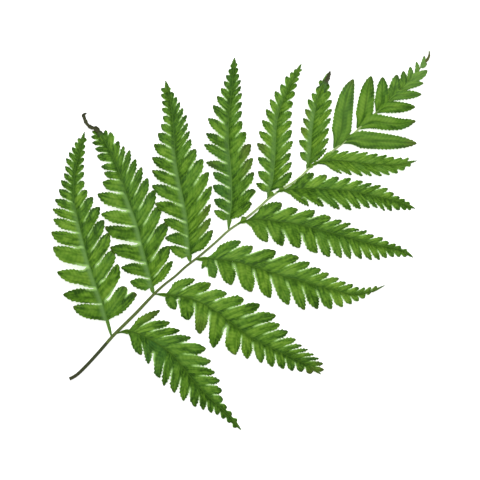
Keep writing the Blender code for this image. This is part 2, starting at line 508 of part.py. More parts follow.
def sheet_object(name, ring, inside, spine):
    """A thin closed blade over an outline: the same triangles above and below, joined round the edge."""
    points = ring + inside + spine
    flat = [Vector(turned(*p[0])) for p in points]
    face = list(range(len(ring)))
    edges = []
    first = len(ring) + len(inside)
    for k in range(first, len(points) - 1):
        edges.append((k, k + 1))
    coords, _, tris, origin, _, _ = delaunay_2d_cdt(flat, edges, [face], 1, 1e-5)
    low, thick = [], []
    for k, co in enumerate(coords):
        if origin[k]:
            src = points[origin[k][0]]
            low.append(src[1])
            thick.append(src[2])
        else:
            print("crossing in", name, tuple(co))
            near = sorted(range(len(flat)), key=lambda m: (flat[m] - co).length)[:2]
            low.append(sum(points[m][1] for m in near) / 2)
            thick.append(min(points[m][2] for m in near))
    mesh = bpy.data.meshes.new(name)
    bm = bmesh.new()
    bottom = [bm.verts.new((co.x * MM, co.y * MM, low[k] * MM)) for k, co in enumerate(coords)]
    top = [bm.verts.new((co.x * MM, co.y * MM, (low[k] + thick[k]) * MM)) for k, co in enumerate(coords)]
    count = {}
    for tri in tris:
        tri = list(tri)
        a, b, c = (coords[m] for m in tri)
        if (b.x - a.x) * (c.y - a.y) - (b.y - a.y) * (c.x - a.x) < 0:
            tri.reverse()
        bm.faces.new([top[m] for m in tri])
        bm.faces.new([bottom[m] for m in reversed(tri)])
        for m in range(3):
            e = (tri[m], tri[(m + 1) % 3])
            count[e] = count.get(e, 0) + 1
    for (a, b) in list(count):
        if (b, a) not in count:
            bm.faces.new((bottom[a], bottom[b], top[b]))
            bm.faces.new((bottom[a], top[b], top[a]))
    loose = [v for v in bm.verts if not v.link_faces]
    bmesh.ops.delete(bm, geom=loose, context="VERTS")
    bm.to_mesh(mesh)
    bm.free()
    obj = bpy.data.objects.new(name, mesh)
    bpy.context.scene.collection.objects.link(obj)
    return obj


def stalk_radius(u):
    if u < 0.5:
        return along((STALK_RADIUS_FOOT, STALK_RADIUS_MID), u * 2)
    return along((STALK_RADIUS_MID, STALK_RADIUS_TOP), u * 2 - 1)


def stalk_object(name, rib, s0, s1, steps):
    """A length of the stalk: a rod whose underside lies flat on the surface."""
    mesh = bpy.data.meshes.new(name)
    bm = bmesh.new()
    rings = []
    sides = len(STALK_SECTION)
    for k in range(steps + 1):
        s = s0 + (s1 - s0) * k / steps
        r = stalk_radius(s / rib.length)
        centre = rib.at(s)
        tan = rib.tangent(s)
        n = np.array([-tan[1], tan[0]])
        ring = []
        for across, up in STALK_SECTION:
            x, y = turned(*(centre + n * r * across))
            ring.append(bm.verts.new((x * MM, y * MM, r * up * MM)))
        rings.append(ring)
    for lower, upper in zip(rings, rings[1:]):
        for m in range(sides):
            j = (m + 1) % sides
            bm.faces.new((lower[m], lower[j], upper[j], upper[m]))
    bm.faces.new(rings[0][::-1])
    bm.faces.new(rings[-1])
    bmesh.ops.recalc_face_normals(bm, faces=bm.faces)
    bm.to_mesh(mesh)
    bm.free()
    obj = bpy.data.objects.new(name, mesh)
    bpy.context.scene.collection.objects.link(obj)
    return obj


def give_material(obj, name, colour, roughness):
    mat = bpy.data.materials.new(name)
    mat.use_nodes = True
    shader = mat.node_tree.nodes["Principled BSDF"]
    shader.inputs["Base Color"].default_value = (*colour, 1.0)
    shader.inputs["Roughness"].default_value = roughness
    shader.inputs["Metallic"].default_value = 0.0
    obj.data.materials.clear()
    obj.data.materials.append(mat)


def build():
    for obj in list(bpy.data.objects):
        bpy.data.objects.remove(obj, do_unlink=True)

    stalk = Rib(RACHIS, 400)

    # the bare stalk below the first pair of pinnae
    stipe = stalk_object("stipe", stalk, 0.0, BARE_STALK, 6)
    give_material(stipe, "stipe", (0.09, 0.085, 0.03), 0.55)

    # the leafy part: the stalk between the pinnae with everything that grows on it
    blade = stalk_object("blade", stalk, BARE_STALK + NODE_GAP, stalk.length, STALK_STEPS)
    leaves = bpy.data.collections.new("leaves")
    bpy.context.scene.collection.children.link(leaves)
    for name, spec in PINNAE.items():
        leaf = sheet_object(name, *pinna_outline(spec))
        leaves.objects.link(leaf)
    for name, (points, width) in LEAFLETS.items():
        teeth = max(2, int(width / 3))
        leaf = sheet_object(name, *leaflet_outline(points, width, teeth))
        leaves.objects.link(leaf)
    for name, (points, width_foot, width_end) in WITHERED.items():
        leaf = sheet_object(name, *withered_outline(points, width_foot, width_end))
        leaves.objects.link(leaf)
    fuse = blade.modifiers.new("fuse", "BOOLEAN")
    fuse.operation = "UNION"
    fuse.operand_type = "COLLECTION"
    fuse.collection = leaves
    fuse.solver = "EXACT"
    bpy.context.view_layer.objects.active = blade
    bpy.ops.object.modifier_apply(modifier=fuse.name)
    for leaf in list(leaves.objects):
        bpy.data.objects.remove(leaf, do_unlink=True)
    bpy.data.collections.remove(leaves)
    tidy = bmesh.new()
    tidy.from_mesh(blade.data)
    bmesh.ops.triangulate(tidy, faces=tidy.faces)
    tidy.to_mesh(blade.data)
    tidy.free()
    give_material(blade, "blade", (0.10, 0.22, 0.03), 0.5)


build()
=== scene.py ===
import math

import bpy
import numpy as np
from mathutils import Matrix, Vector


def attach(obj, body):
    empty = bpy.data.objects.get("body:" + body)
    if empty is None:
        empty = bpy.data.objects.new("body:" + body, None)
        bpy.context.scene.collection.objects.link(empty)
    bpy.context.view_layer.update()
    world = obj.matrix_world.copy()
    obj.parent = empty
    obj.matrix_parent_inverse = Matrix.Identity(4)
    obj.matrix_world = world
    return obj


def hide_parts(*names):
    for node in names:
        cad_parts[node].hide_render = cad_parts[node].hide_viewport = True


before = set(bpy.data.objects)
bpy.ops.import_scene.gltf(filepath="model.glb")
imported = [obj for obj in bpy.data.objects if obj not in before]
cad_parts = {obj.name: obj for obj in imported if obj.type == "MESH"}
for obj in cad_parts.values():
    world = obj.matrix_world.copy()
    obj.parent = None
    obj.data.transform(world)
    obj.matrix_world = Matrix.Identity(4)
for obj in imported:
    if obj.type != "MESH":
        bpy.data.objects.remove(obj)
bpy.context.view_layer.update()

MM = 0.001

# How the frond lies: the stalk runs along +Y, and the guide values are turned by this angle
STALK_ANGLE_DEG = 42.3
CENTRE_X = 316.16
CENTRE_Y = 40.22

# Stalk, in mm
STALK_RADII = [(0.0, 1.75), (104.0, 1.6), (135.0, 1.25), (375.0, 1.15), (490.0, 0.6)]  # way along it, radius
STALK_TALL = 1.75             # its height in radii
STALK_GROOVE = 0.12
STALK_SIDES = 20
STALK_STEP = 1.5
BARE_STALK = 52.0
NODE_GAP = 0.3

# Leaves, in mm
SHEET = 0.42                  # thickness of the living leaf
CLEARANCE = 0.02              # between the lowest leaf and the surface
CROWN = 0.55                  # how far a leaflet falls from its midvein to its edge
RIB_LIFT = 0.40               # how far the leaf rises where it meets its rib
MIDVEIN_DEPTH = 0.18
MIDVEIN_WIDTH = 0.12          # as a share of the half width
VEIN_RELIEF = 0.07
VEIN_SLANT = 0.9              # how far a side vein runs forward on its way out, in teeth
WELD = 0.01                   # corners nearer than this become one
SEAM_WELD = 0.03              # the same between pinnules
RING_WELD = 0.004             # the same at the ends of rods
SMOOTH_ANGLE_DEG = 55.0

# Pinnae, in mm
RIB_WIDTH = 1.7
RIB_WIDTH_TIP = 0.6
RIB_DEPTH = 1.02
RIB_DEPTH_TIP = 0.84
RIB_GROOVE = 0.14
GROOVE_WIDTH = 0.38           # of ribs and stalk, as a share of the half width
RIB_SHORT = 0.6               # how far the rib stops before the tip
RIB_SIDES = 12
RIB_STEP = 2.0
ARCH_BASE = 3.0
ARCH_PER_LENGTH = 0.020
ARCH_START = 0.55             # height of the rib at the stalk
DROOP = {"near": 0.45, "far": 0.92}
PINNULE_BEND = 0.04
PINNULE_TURN = 0.22           # spread of the twist and of the lift of pinnules
FULL_PINNULE = 22.0           # a pinnule of this length has the full relief
# how a pinnule narrows to its tip: later for a larger first value, rounder for a smaller second one
BLUNTNESS = {("near", "prox"): (3.3, 0.78), ("near", "dist"): (3.0, 0.80),
             ("far", "prox"): (3.3, 0.78), ("far", "dist"): (4.4, 0.64)}
PINNULE_REACH = 0.65          # how far a pinnule goes past the middle of its last visible tooth
PINNULE_MIDDLE = (0.16, 0.55)  # the stretch over which its width is judged
WIDTH_CAP = 1.15
ROOT_SPACING = 1.5
FOOT_OPENING = 2.6
SLIT = 0.38                   # half the open space between two pinnules
SLIT_END = 0.95               # the same at its rounded inner end, as a share
SLIT_NARROWS = (0.32, 0.8)    # a slit narrows over this share of a pinnule towards its inner end, by how far
LEAST_CUT = 0.08
LAST_EDGE = 0.9               # how much of its width the last pinnule takes up along the rib
ROWS = 36                     # rows of faces along a pinnule
ACROSS = np.array([-1.0, -0.80, -0.55, -0.30, -0.10, 0.0, 0.10, 0.30, 0.55, 0.80, 1.0])

# Teeth: how many a pinnule of some length has, how far they stand out, and how calm they are inside a slit
TEETH = ((24, 9), (12, 6), (7, 4), (0, 3))
TOOTH_SHARE = 0.044
TOOTH_LEAST = 0.34
TOOTH_MOST = 1.1
TOOTH_UNEVEN = (0.6, 1.4)
TOOTH_ROWS = 4
CALM = {"near": 0.7, "far": 0.35}

# Foot and end of a pinna, in mm
FOOT_OVERLAP = 3.0
FOOT_ROWS = 10
FOOT_ACROSS = np.array([-1.0, -0.6, -0.25, 0.0, 0.25, 0.6, 1.0])
END_OVERLAP = 1.0
END_TOOTH = 1.6
END_TOOTH_SHARE = 0.24        # of the half width
END_ACROSS = np.array([-1.0, -0.5, -0.15, 0.0, 0.15, 0.5, 1.0])

# Simple leaflets of the upper part, in mm
LEAFLET_BLUNTNESS = (3.6, 0.70)
LEAFLET_TOOTH = 3.6
LEAFLET_UNEVEN = (0.3, 1.7)
LEAFLET_TEETH = (0.05, 0.14, 0.75)  # how far they stand out: by width, plus this, at most this
LEAFLET_LIFT = 1.2
LEAFLET_LIFT_PER_LENGTH = 0.03
LEAFLET_CROWN = 0.45
LEAFLET_TURN = 0.15
LEAFLET_VEIN_SLANT = 1.4

# Dried ends
WITHERED_ROWS = 48
WITHERED_COLUMNS = 8
WITHERED_ANGLE_DEG = 70.0

SEED = 20

# Guide values read off the sheet, in mm, x to the right and y down
RACHIS = [(69, 378.5), (76, 374.5), (86, 365), (99.7, 350), (112.4, 335.4), (125.7, 322.2), (136, 312),
          (145.5, 301.9), (155.3, 291.8), (164.5, 283.5), (175, 275.4), (184.6, 266.6), (195.3, 258.4),
          (205, 250.5), (215.7, 241.2), (228, 230), (240.4, 221.4), (250, 214), (260, 205.5), (267, 199),
          (279.7, 189.7), (291, 183), (301.5, 175), (309, 167.5), (321, 159), (334, 149), (346, 139.5),
          (356, 130.5), (366, 120.5), (376, 112), (389, 100), (402, 87.5), (413, 76), (420, 67),
          (424.6, 60.5), (428.2, 55.5), (428.8, 50)]

# Each pinna. near is the side towards the foot of the frond, far the one towards its top.
# costa: its rib, from the rachis to its tip; near, far: the tips of its pinnules
# bare: the stretch of rib below the first pinnule
# base: half widths of the foot half way up that stretch and at its end, near and then far
# cut: how deep the slits go at the first pinnules and at the last, near and then far
# lean: how far the first and the last pinnules lean to the tip in degrees, near and then far
# foot_near, foot_far: half width of the first pinnule on its foot side, and the share of it right at the rib
# widths: shares of the rule's widths for single pinnules, towards the foot and the tip of the pinna, with
# near_plain for the others; shift: how far single ones move along the rib; cuts: how deep single slits go
# shade: how deep the green is, below nought paler; cool, dry: how single pinnules look
# fold shadow: painted shadow that deepens the green of single folded pinnules
PINNAE = {
    "left_1": dict(
        costa=[(111, 336), (107, 321), (101, 300), (95, 283), (88, 261), (82, 237), (76, 212), (73, 190),
            (75, 168), (79, 150), (84, 131)],
        near=[(73, 306), (63, 294), (57, 271.5), (53, 246.5), (51.3, 231.5), (53.3, 218.5), (52.5, 208.5),
            (55, 199), (59, 189), (61, 180), (64, 173), (65, 166), (66, 158), (69, 152), (72, 147),
            (75, 142), (78, 138)],
        far=[(136, 294), (123, 286), (117, 264), (113, 250), (108, 233), (103, 220), (99, 207), (92, 197),
            (86, 190), (83, 181), (83, 172), (83, 165), (83, 158), (84, 151), (84, 145), (85, 138)],
        near_widths={1: (1.0, 0.95), 2: (0.72, 0.64), 3: (1.0, 0.74), 4: (1.22, 0.84)},
        far_widths={0: (0.9, 1.7), 1: (1.7, 0.72), 2: (1.1, 0.7), 3: (1.35, 0.85), 4: (1.15, 1.0),
            5: (1.0, 1.22), 6: (0.78, 1.25), 7: (0.72, 1.12), 8: (0.86, 1.0)},
        far_cuts={0: 0.16}, cut=(0.95, 0.55, 0.85, 0.45), foot_near=(10.0, 0.85), foot_far=(3.5, 0.1),
        lean=(66, 50, 52, 36), bare=16, base=(1.7, 1.8, 1.7, 1.8), shade=0.15, end_depth=0.5, bloom=1.0,
        foot_slim=1.0, foot_start=0.8),
    "left_2": dict(
        costa=[(153, 293), (151.5, 284), (148, 269), (143, 250), (136, 222), (129, 203), (121, 178),
            (113, 158), (106, 144), (97, 129)],
        near=[(130, 281), (121, 267), (110, 247), (105, 226.3), (101, 213.5), (97.5, 193.5), (102.5, 181.5),
            (104, 172), (101, 166), (97, 155), (95, 148), (92, 142), (91, 136), (92, 131)],
        far=[(172, 261), (169, 246), (167, 222), (160, 205), (154, 190), (147, 178), (141, 167), (135, 159),
            (129, 150), (123, 146), (118, 141), (110, 132), (105, 130)],
        near_widths={1: (0.72, 0.96), 2: (0.76, 0.78), 3: (0.97, 0.84), 4: (0.97, 0.9), 5: (0.88, 0.84),
            8: (1.0, 0.85)},
        near_shift={1: 2.0, 2: 1.5, 4: -2.0, 5: -1.5},
        far_widths={1: (1.0, 1.0), 2: (0.76, 1.15), 3: (0.8, 1.0)},
        cut=(0.95, 0.6, 0.8, 0.45), foot_near=(5.6, 0.3), foot_far=(3.7, 0.12), lean=(63, 58, 52, 36),
        bare=6, base=(2.7, 2.8, 1.6, 1.6), shade=0.1, end_depth=0.8, bloom=1.0, foot_slim=1.0,
        foot_start=0.8, end_lobe=2.6),
    "left_3": dict(
        costa=[(190, 262), (189, 254), (188, 238), (186, 215), (182, 195), (178, 175), (175, 155),
            (173, 130), (171, 108), (165, 80)],
        near=[(170, 246), (165, 237.6), (163.5, 219), (155, 203), (152, 185), (152, 170), (152, 157),
            (154, 144), (158, 133), (161, 124), (163, 116), (162, 108), (162, 101), (161, 94), (161, 88)],
        far=[(212, 230), (210, 218), (210, 204), (211, 186), (208, 172), (202, 159), (195, 149), (190, 139),
            (189, 131), (187, 123), (186, 115), (182, 108), (179, 102), (176, 97), (172, 92), (168, 87)],
        near_widths={1: (0.82, 1.35), 2: (0.56, 1.0), 3: (0.85, 1.08), 4: (0.86, 1.04), 5: (0.9, 0.95)},
        near_shift={1: 7.5}, near_cool={1: 0.3}, far_widths={2: (1.0, 0.9), 3: (1.15, 1.0)},
        far_dry={1: 0.25, 2: 0.3}, cut=(0.95, 0.55, 0.5, 0.45), foot_near=(6.0, 0.3), foot_far=(6.0, 0.12),
        lean=(60, 52, 50, 34), bare=6, base=(3.0, 3.0, 1.8, 2.6), shade=0.1, end_depth=1.2, bloom=0.85,
        end_lobe=2.6),
    "left_4": dict(
        costa=[(228, 229), (229, 217), (231, 203), (231, 185), (230, 165), (228, 145), (228, 125),
            (229, 108), (231, 92), (234, 57)],
        near=[(214, 210), (214, 199), (213, 185), (213, 172), (206, 162), (204, 144), (206, 133),
            (208, 118), (213, 105), (217, 96), (221, 88), (224, 81), (226, 75), (229, 69), (231, 64)],
        far=[(251, 203), (253, 189), (253, 172), (252, 158), (250, 144), (245, 132), (241, 121), (241, 111),
            (241, 102), (241, 93), (240, 86), (240, 80), (238, 74), (237, 68), (236, 63)],
        near_widths={5: (0.62, 1.25), 7: (0.75, 0.9), 8: (0.75, 0.95)},
        near_shift={4: 3.0, 5: 2.0, 6: 1.0},
        near_fold_shadow={1: 0.7, 2: 0.9, 3: 0.6, 4: 0.3},
        near_cool={0: 0.2, 1: 0.7, 2: 0.7, 3: 0.9, 4: 0.3, 5: 0.4},
        far_widths={0: (1.0, 0.85), 1: (1.15, 1.0), 5: (0.9, 1.0)},
        near_dry={4: 0.25}, far_cuts={0: 0.12}, far_dry={3: 0.25, 4: 0.35}, near_plain=(0.88, 1.0),
        cut=(0.9, 0.55, 0.5, 0.5), foot_near=(4.0, 0.3), foot_far=(3.8, 0.12), lean=(62, 48, 48, 34),
        bare=9, base=(2.1, 2.2, 2.0, 2.6), shade=0.15, end_depth=1.2, bloom=0.4, foot_slim=0.75,
        foot_start=0.7, end_lobe=2.6),
    "left_5": dict(
        costa=[(267, 198), (268.5, 191), (272, 180), (274, 160), (275, 142), (276, 125), (279, 110),
            (284, 97), (291, 82), (301, 63)],
        near=[(256, 183), (258, 171), (258, 157), (257, 143), (259, 131), (262, 120), (266, 109), (270, 99),
            (275, 91), (281, 84), (286, 76), (291, 72), (295, 69)],
        far=[(291, 172), (291, 162), (290, 153), (292, 141), (291, 130), (291, 121), (291, 112), (292, 102),
            (294, 92), (296, 84), (298, 78), (299, 73), (301, 69)],
        near_dry={3: 0.35}, near_plain=(0.78, 1.0), cut=(0.75, 0.5, 0.6, 0.45), foot_near=(2.5, 0.12),
        foot_far=(6.0, 0.12), lean=(58, 46, 46, 36), bare=5, base=(1.6, 1.6, 4.2, 6.0), shade=-0.25,
        channel=0.6, bloom=0.55, foot_slim=0.6),
    "left_6": dict(
        costa=[(306, 168), (308, 163), (310, 150), (311, 135), (313, 120), (316, 104), (320, 90), (326, 76),
            (329, 71)],
        near=[(300, 152), (299, 140), (301, 127), (303, 118), (305, 109), (308, 99), (312, 93), (317, 87),
            (320, 80)],
        far=[(326, 148), (328, 138), (328, 128), (330, 118), (331, 109), (331, 100), (330, 92), (328, 84)],
        near_dry={2: 0.35, 3: 0.2, 4: 0.25},
        near_plain=(0.78, 1.0), cut=(0.7, 0.5, 0.3, 0.35), foot_near=(3.5, 0.12), foot_far=(2.2, 0.12),
        lean=(54, 46, 42, 34), bare=3, base=(1.6, 2.2, 2.5, 5.5), shade=-0.35, channel=0.45, bloom=0.8,
        end_lobe=2.6),
    "right_1": dict(
        costa=[(115, 333), (127, 330.5), (140, 334), (152, 340), (163, 347), (173, 355), (182, 366),
            (192, 379), (202, 390), (213, 401), (227, 414), (241, 430)],
        near=[(141, 354), (148, 363), (159.5, 377), (163.5, 385), (174, 392), (183, 400), (195, 406),
            (203, 409), (211, 412), (217, 414), (223, 418), (229, 422), (235, 427)],
        far=[(159, 310), (169, 322), (179, 330), (190, 337), (205, 348), (210, 360.5), (214, 372),
            (219, 380), (221, 390), (222, 399), (226, 407), (231, 414), (236, 421)],
        near_widths={1: (1.1, 0.7), 2: (1.5, 0.8), 3: (1.45, 1.0), 4: (1.1, 1.0)},
        near_fold_shadow={1: 0.5, 2: 0.5, 3: 0.6},
        far_widths={0: (0.9, 1.1), 1: (1.05, 1.0), 4: (1.1, 1.25), 5: (0.65, 1.05), 6: (0.8, 1.0),
            10: (0.8, 0.85), 11: (0.8, 0.85), 12: (0.8, 0.85)},
        far_shift={2: 3.0, 3: 6.0, 4: 11.0, 5: 11.0, 6: 8.0, 7: 8.0, 8: 5.0, 9: 4.0, 10: 2.0},
        near_cool={1: 0.4, 2: 0.4}, far_cuts={3: 0.4}, far_dry={0: 0.3}, cut=(0.6, 0.5, 0.65, 0.5),
        foot_near=(7.6, 0.9), foot_far=(4.4, 0.0), lean=(52, 44, 46, 30), bare=12,
        base=(1.6, 3.4, 1.2, 2.0), shade=0.3, end_depth=1.0),
    "right_2": dict(
        costa=[(154, 293.6), (165, 294), (180, 295.6), (193, 299), (206, 305), (217, 312), (228, 320),
            (240, 329), (252, 338), (266, 345), (280, 352), (296, 359), (309, 366), (321, 374)],
        near=[(175, 308.5), (188, 319), (199.5, 333), (213, 347), (235, 354), (247, 358), (261, 362),
            (272, 366), (283, 368), (292, 370), (301, 371), (310, 373)],
        far=[(194, 279), (210, 283), (226, 293), (243, 299), (259, 304), (275, 315), (279, 324), (287, 331),
            (295, 339), (301, 345), (307, 349), (313, 354), (318, 358), (322, 363), (323, 369)],
        near_widths={0: (1.0, 0.6), 1: (1.5, 1.0), 2: (1.12, 0.95), 3: (0.8, 0.76), 4: (1.0, 1.0),
            6: (0.72, 1.0)},
        far_widths={0: (1.0, 0.85), 1: (1.12, 1.0), 2: (1.0, 0.7), 3: (1.6, 1.0), 5: (1.0, 1.0),
            8: (0.9, 1.0), 14: (0.6, 0.4)},
        far_shift={1: 2.0, 2: 5.5, 3: 11.0, 4: 18.0, 5: 8.0, 6: 8.0, 7: 8.0, 8: 5.0, 9: 2.5, 10: 1.0},
        near_dry={2: 0.25}, cut=(0.85, 0.6, 0.65, 0.5), foot_near=(6.8, 0.5), foot_far=(6.4, 0.05),
        lean=(66, 50, 42, 34), bare=10, base=(1.9, 2.6, 1.5, 1.7), shade=-0.35, end_depth=1.0, dry_end=0.45,
        end_closing=0.0),
    "right_3": dict(
        costa=[(194, 259), (206, 258), (220, 259), (236, 261), (252, 266), (268, 271), (284, 276),
            (300, 280), (316, 285), (332, 289), (348, 293), (360, 293), (372, 290.5), (385, 284.5)],
        near=[(201.5, 268), (214.5, 277), (231, 284), (251, 291), (270, 297), (288, 304), (304, 309),
            (317, 308), (331, 308), (342, 306), (351, 303), (358, 300), (364, 297), (370, 292)],
        far=[(240, 241), (252, 246), (275, 251), (298, 257), (309, 262), (320, 269), (328, 273), (338, 278),
            (345, 282), (352, 284), (358, 287.5), (364, 287.5), (370, 287), (376, 286)],
        near_widths={1: (1.55, 1.0), 3: (1.0, 0.92), 4: (0.95, 0.86), 5: (0.9, 1.05), 6: (0.92, 1.0)},
        far_widths={2: (1.0, 0.88), 3: (1.15, 1.0), 7: (0.92, 1.0)},
        near_cuts={0: 0.35}, near_cool={1: 0.5}, far_shift={5: 1.0, 6: 2.5}, cut=(0.9, 0.55, 0.5, 0.55),
        foot_near=(2.0, 0.3), foot_far=(7.0, 0.12), lean=(60, 48, 42, 30), bare=10,
        base=(2.6, 3.2, 1.6, 2.2), shade=-0.35, end_depth=-0.8, dry_end=0.3, end_lobe=1.4, end_closing=0.0),
    "right_4": dict(
        costa=[(236, 224), (248, 219.5), (262, 219), (278, 221), (294, 223), (310, 227), (326, 231),
            (342, 235), (358, 240), (374, 244), (390, 247), (402, 250), (413, 257)],
        near=[(267, 241), (282, 245), (299, 247), (317, 252), (329, 256), (341, 257), (350, 258),
            (361, 258), (371, 259), (379, 259), (386, 257), (393, 256), (399, 256), (405, 256)],
        far=[(281, 203), (297, 209), (314, 210), (330, 217), (341, 220), (350, 223), (358.5, 229.3),
            (366, 230), (373, 235), (382, 237.3), (388, 242), (395, 244), (400, 246), (406, 251)],
        near_widths={2: (1.0, 0.85), 3: (1.25, 0.75), 4: (1.5, 1.0)},
        far_shift={3: 1.5, 4: 2.5, 5: 4.0, 6: -4.0, 7: -1.0},
        far_widths={8: (0.88, 1.0), 13: (0.5, 0.8)}, cut=(0.6, 0.55, 0.5, 0.5), foot_near=(8.0, 0.7),
        foot_far=(7.2, 0.12), lean=(58, 46, 38, 30), bare=8, base=(2.2, 2.4, 2.0, 5.5), shade=-0.15,
        foot_slim=0.4),
    "right_5": dict(
        costa=[(275, 192), (284, 189.5), (300, 188), (316, 188), (332, 189), (348, 190), (362, 193),
            (376, 196), (390, 199), (402, 203), (415, 208)],
        near=[(308, 205.5), (323, 205.5), (339, 208.5), (350.7, 209.3), (360, 208), (369, 207), (377, 207),
            (384, 210), (391, 210), (399, 209), (405, 209), (410, 209)],
        far=[(313, 173), (326, 175), (338, 177), (350, 178), (362, 181), (371, 183), (380, 185), (387, 188),
            (393, 193), (399, 197), (404, 199), (409, 203)],
        near_widths={0: (1.0, 1.15), 1: (0.85, 1.0), 2: (0.9, 1.0)},
        cut=(0.5, 0.45, 0.45, 0.4), foot_near=(1.9, 0.12), foot_far=(6.0, 0.12), lean=(40, 40, 40, 32),
        bare=6, base=(1.4, 1.8, 2.0, 3.5), shade=0.0, channel=0.6, foot_slim=0.4),
    "right_6": dict(
        costa=[(311, 165), (320, 161), (334, 160), (350, 161), (366, 163), (382, 164), (398, 164),
            (417, 160)],
        near=[(341, 173), (351, 174), (362, 175), (371, 175), (381, 175), (389, 174), (397, 172),
            (404, 168), (410, 164)],
        far=[(338, 150.5), (348, 151), (358, 151), (367, 152), (377, 154), (386, 155), (393, 157),
            (401, 158), (408, 158)],
        cut=(0.35, 0.25, 0.3, 0.2), foot_near=(1.6, 0.12), foot_far=(4.0, 0.12), lean=(34, 30, 30, 24),
        bare=4, base=(1.4, 2.0, 1.4, 2.0), shade=-0.7, channel=0.45),
}

# What a pinna has where its own values don't say
# end_closing: how much shallower the slits are at its end; end_lobe: half width of that end
# foot_slim: how much of its width the foot keeps half way up; foot_start: its half width at the stalk
# end_depth: how much deeper the green is at the end; channel: how dark the painted shade along the rib is
# bloom: how much pale bloom lies beside the rib; dry_end: how browned the very end is
PLAIN_PINNA = dict(end_closing=0.45, end_lobe=2.0, foot_slim=0.8, foot_start=0.2, end_depth=0.2, channel=0.8,
                   bloom=0.0, dry_end=0.0)
for spec in PINNAE.values():
    for what, plain in PLAIN_PINNA.items():
        spec.setdefault(what, plain)

# simple toothed leaflets of the upper part: midrib from the rachis to the tip, greatest width
LEAFLETS = {
    "left_7": ([(334, 148), (340.2, 133), (343.4, 110), (347.3, 92), (353, 78.3)], 19.7),
    "left_8": ([(357, 128), (363, 116), (365.7, 100), (367.8, 87), (370.8, 75.2)], 17.3),
    "left_9": ([(376, 112), (380.4, 103), (381.8, 93), (382.2, 76.3)], 14.1),
    "left_10": ([(388, 101), (393, 92), (395, 83), (396.6, 73.8)], 12.2),
    "left_11": ([(400, 90), (403.2, 82), (403, 70.2)], 8.4),
    "left_12": ([(408, 82), (410, 75), (410, 66)], 6.6),
    "left_13": ([(415, 74), (417, 68), (416, 61)], 4.8),
    "left_14": ([(420, 67), (423, 62), (424, 55)], 4.6),
    "right_7": ([(341, 142), (353, 138.7), (370, 139.8), (390, 141.4), (416.5, 142.7)], 17.7),
    "right_8": ([(357, 128), (372, 121.1), (385, 122.4), (400, 123.4), (415.5, 120.3)], 15.2),
    "right_9": ([(376, 112), (386, 106.7), (398, 106.7), (415, 106.3)], 12.5),
    "right_10": ([(388, 101), (396, 95.2), (408, 94.2), (421.4, 93.6)], 10.2),
    "right_11": ([(400, 90), (407, 85.6), (415, 83.6), (423.4, 82.4)], 7.6),
    "right_12": ([(408, 82), (415, 77), (421, 74), (427.2, 69.6)], 9.4),
    "right_13": ([(420, 67), (424, 65), (426.6, 62.5)], 3.8),
    "tip": ([(423.4, 63.5), (427, 58.8), (428.8, 54.6), (428.7, 49.8)], 2.7),
}

# withered ends of two pinnae, dried to a thin curl: line, width at its foot, width at its end
WITHERED = {
    "left_2_end": ([(101, 135), (96, 128.5), (91, 127), (87, 124), (84.5, 119.5), (83.5, 116), (82.5, 115),
                    (84, 113.5), (86, 112.5)], 5.0, 2.2),
    "left_6_end": ([(320, 90), (323.6, 84), (327.2, 78), (329.8, 70.5)], 8.6, 2.0),
}

SHADE_SPREAD = 0.30
COOL_SPREAD = 0.5
COOL_PLAIN = 0.3
# how far from the rib the painted shade of the channel reaches
CHANNEL_WIDTH = 2.6           # in mm
BLOOM_BAND = (2.0, 2.4)       # how far from the rib the bloom lies and how wide it is, in mm

# Looks of the simple leaflets: how deep, how pale with bloom, how browned, and where the brown sets in
LEAFLET_SHADES = {"left_7": 0.1, "left_8": 0.05, "left_9": 0.1, "right_7": -0.1, "right_8": 0.05,
                  "left_10": 0.2, "left_11": 0.3, "left_12": 0.1, "left_13": -0.2, "right_10": -0.2,
                  "right_11": -0.5, "right_12": -1.0, "right_13": -0.6, "left_14": -0.6, "tip": -0.2}
LEAFLET_BLOOM = {"left_7": 0.15, "right_7": 0.15, "left_10": 0.15, "left_11": 0.15, "left_12": 0.3,
                 "left_13": 0.5, "left_14": 0.8, "right_10": 0.2, "right_11": 0.3, "right_12": 0.5,
                 "right_13": 0.8, "tip": 0.6}
LEAFLET_DRY = {"right_7": 0.5, "left_7": 0.12, "left_8": 0.15, "left_14": 0.8, "right_13": 0.6, "tip": 0.8}
LEAFLET_DRIED_FROM = {"tip": (0.0, 0.3)}
LEAFLET_DRIED_ELSE = (0.75, 1.0)
DRIED_FROM = {"left_2_end": (-0.1, 0.25), "left_6_end": (0.30, 0.55)}


def smooth_line(points, count):
    """A smooth line through the points (Catmull-Rom), cut into equal steps of length."""
    p = np.asarray(points, float)
    p = np.vstack([2 * p[0] - p[1], p, 2 * p[-1] - p[-2]])
    fine = []
    for i in range(1, len(p) - 2):
        a, b, c, d = p[i - 1], p[i], p[i + 1], p[i + 2]
        for k in range(12):
            t = k / 12
            fine.append(0.5 * (2 * b + (c - a) * t + (2 * a - 5 * b + 4 * c - d) * t * t
                               + (3 * b - a - 3 * c + d) * t ** 3))
    fine.append(p[-2])
    fine = np.array(fine)
    step = np.r_[0, np.cumsum(np.hypot(*np.diff(fine, axis=0).T))]
    s = np.linspace(0, step[-1], count + 1)
    return np.c_[np.interp(s, step, fine[:, 0]), np.interp(s, step, fine[:, 1])], step[-1]


class Rib:
    """A line on the sheet that can be asked for its place and direction at any length along it."""

    def __init__(self, points, count=240):
        self.p, self.length = smooth_line(points, count)
        self.s = np.linspace(0, self.length, count + 1)

    def at(self, s):
        s = np.clip(s, 0, self.length)
        return np.stack([np.interp(s, self.s, self.p[:, 0]), np.interp(s, self.s, self.p[:, 1])], -1)

    def tangent(self, s):
        d = self.at(np.asarray(s) + 2.0) - self.at(np.asarray(s) - 2.0)
        return d / np.linalg.norm(d, axis=-1, keepdims=True)

    def nearest(self, q):
        d = np.hypot(*(self.p - q).T)
        i = int(np.argmin(d))
        return self.s[i], d[i]


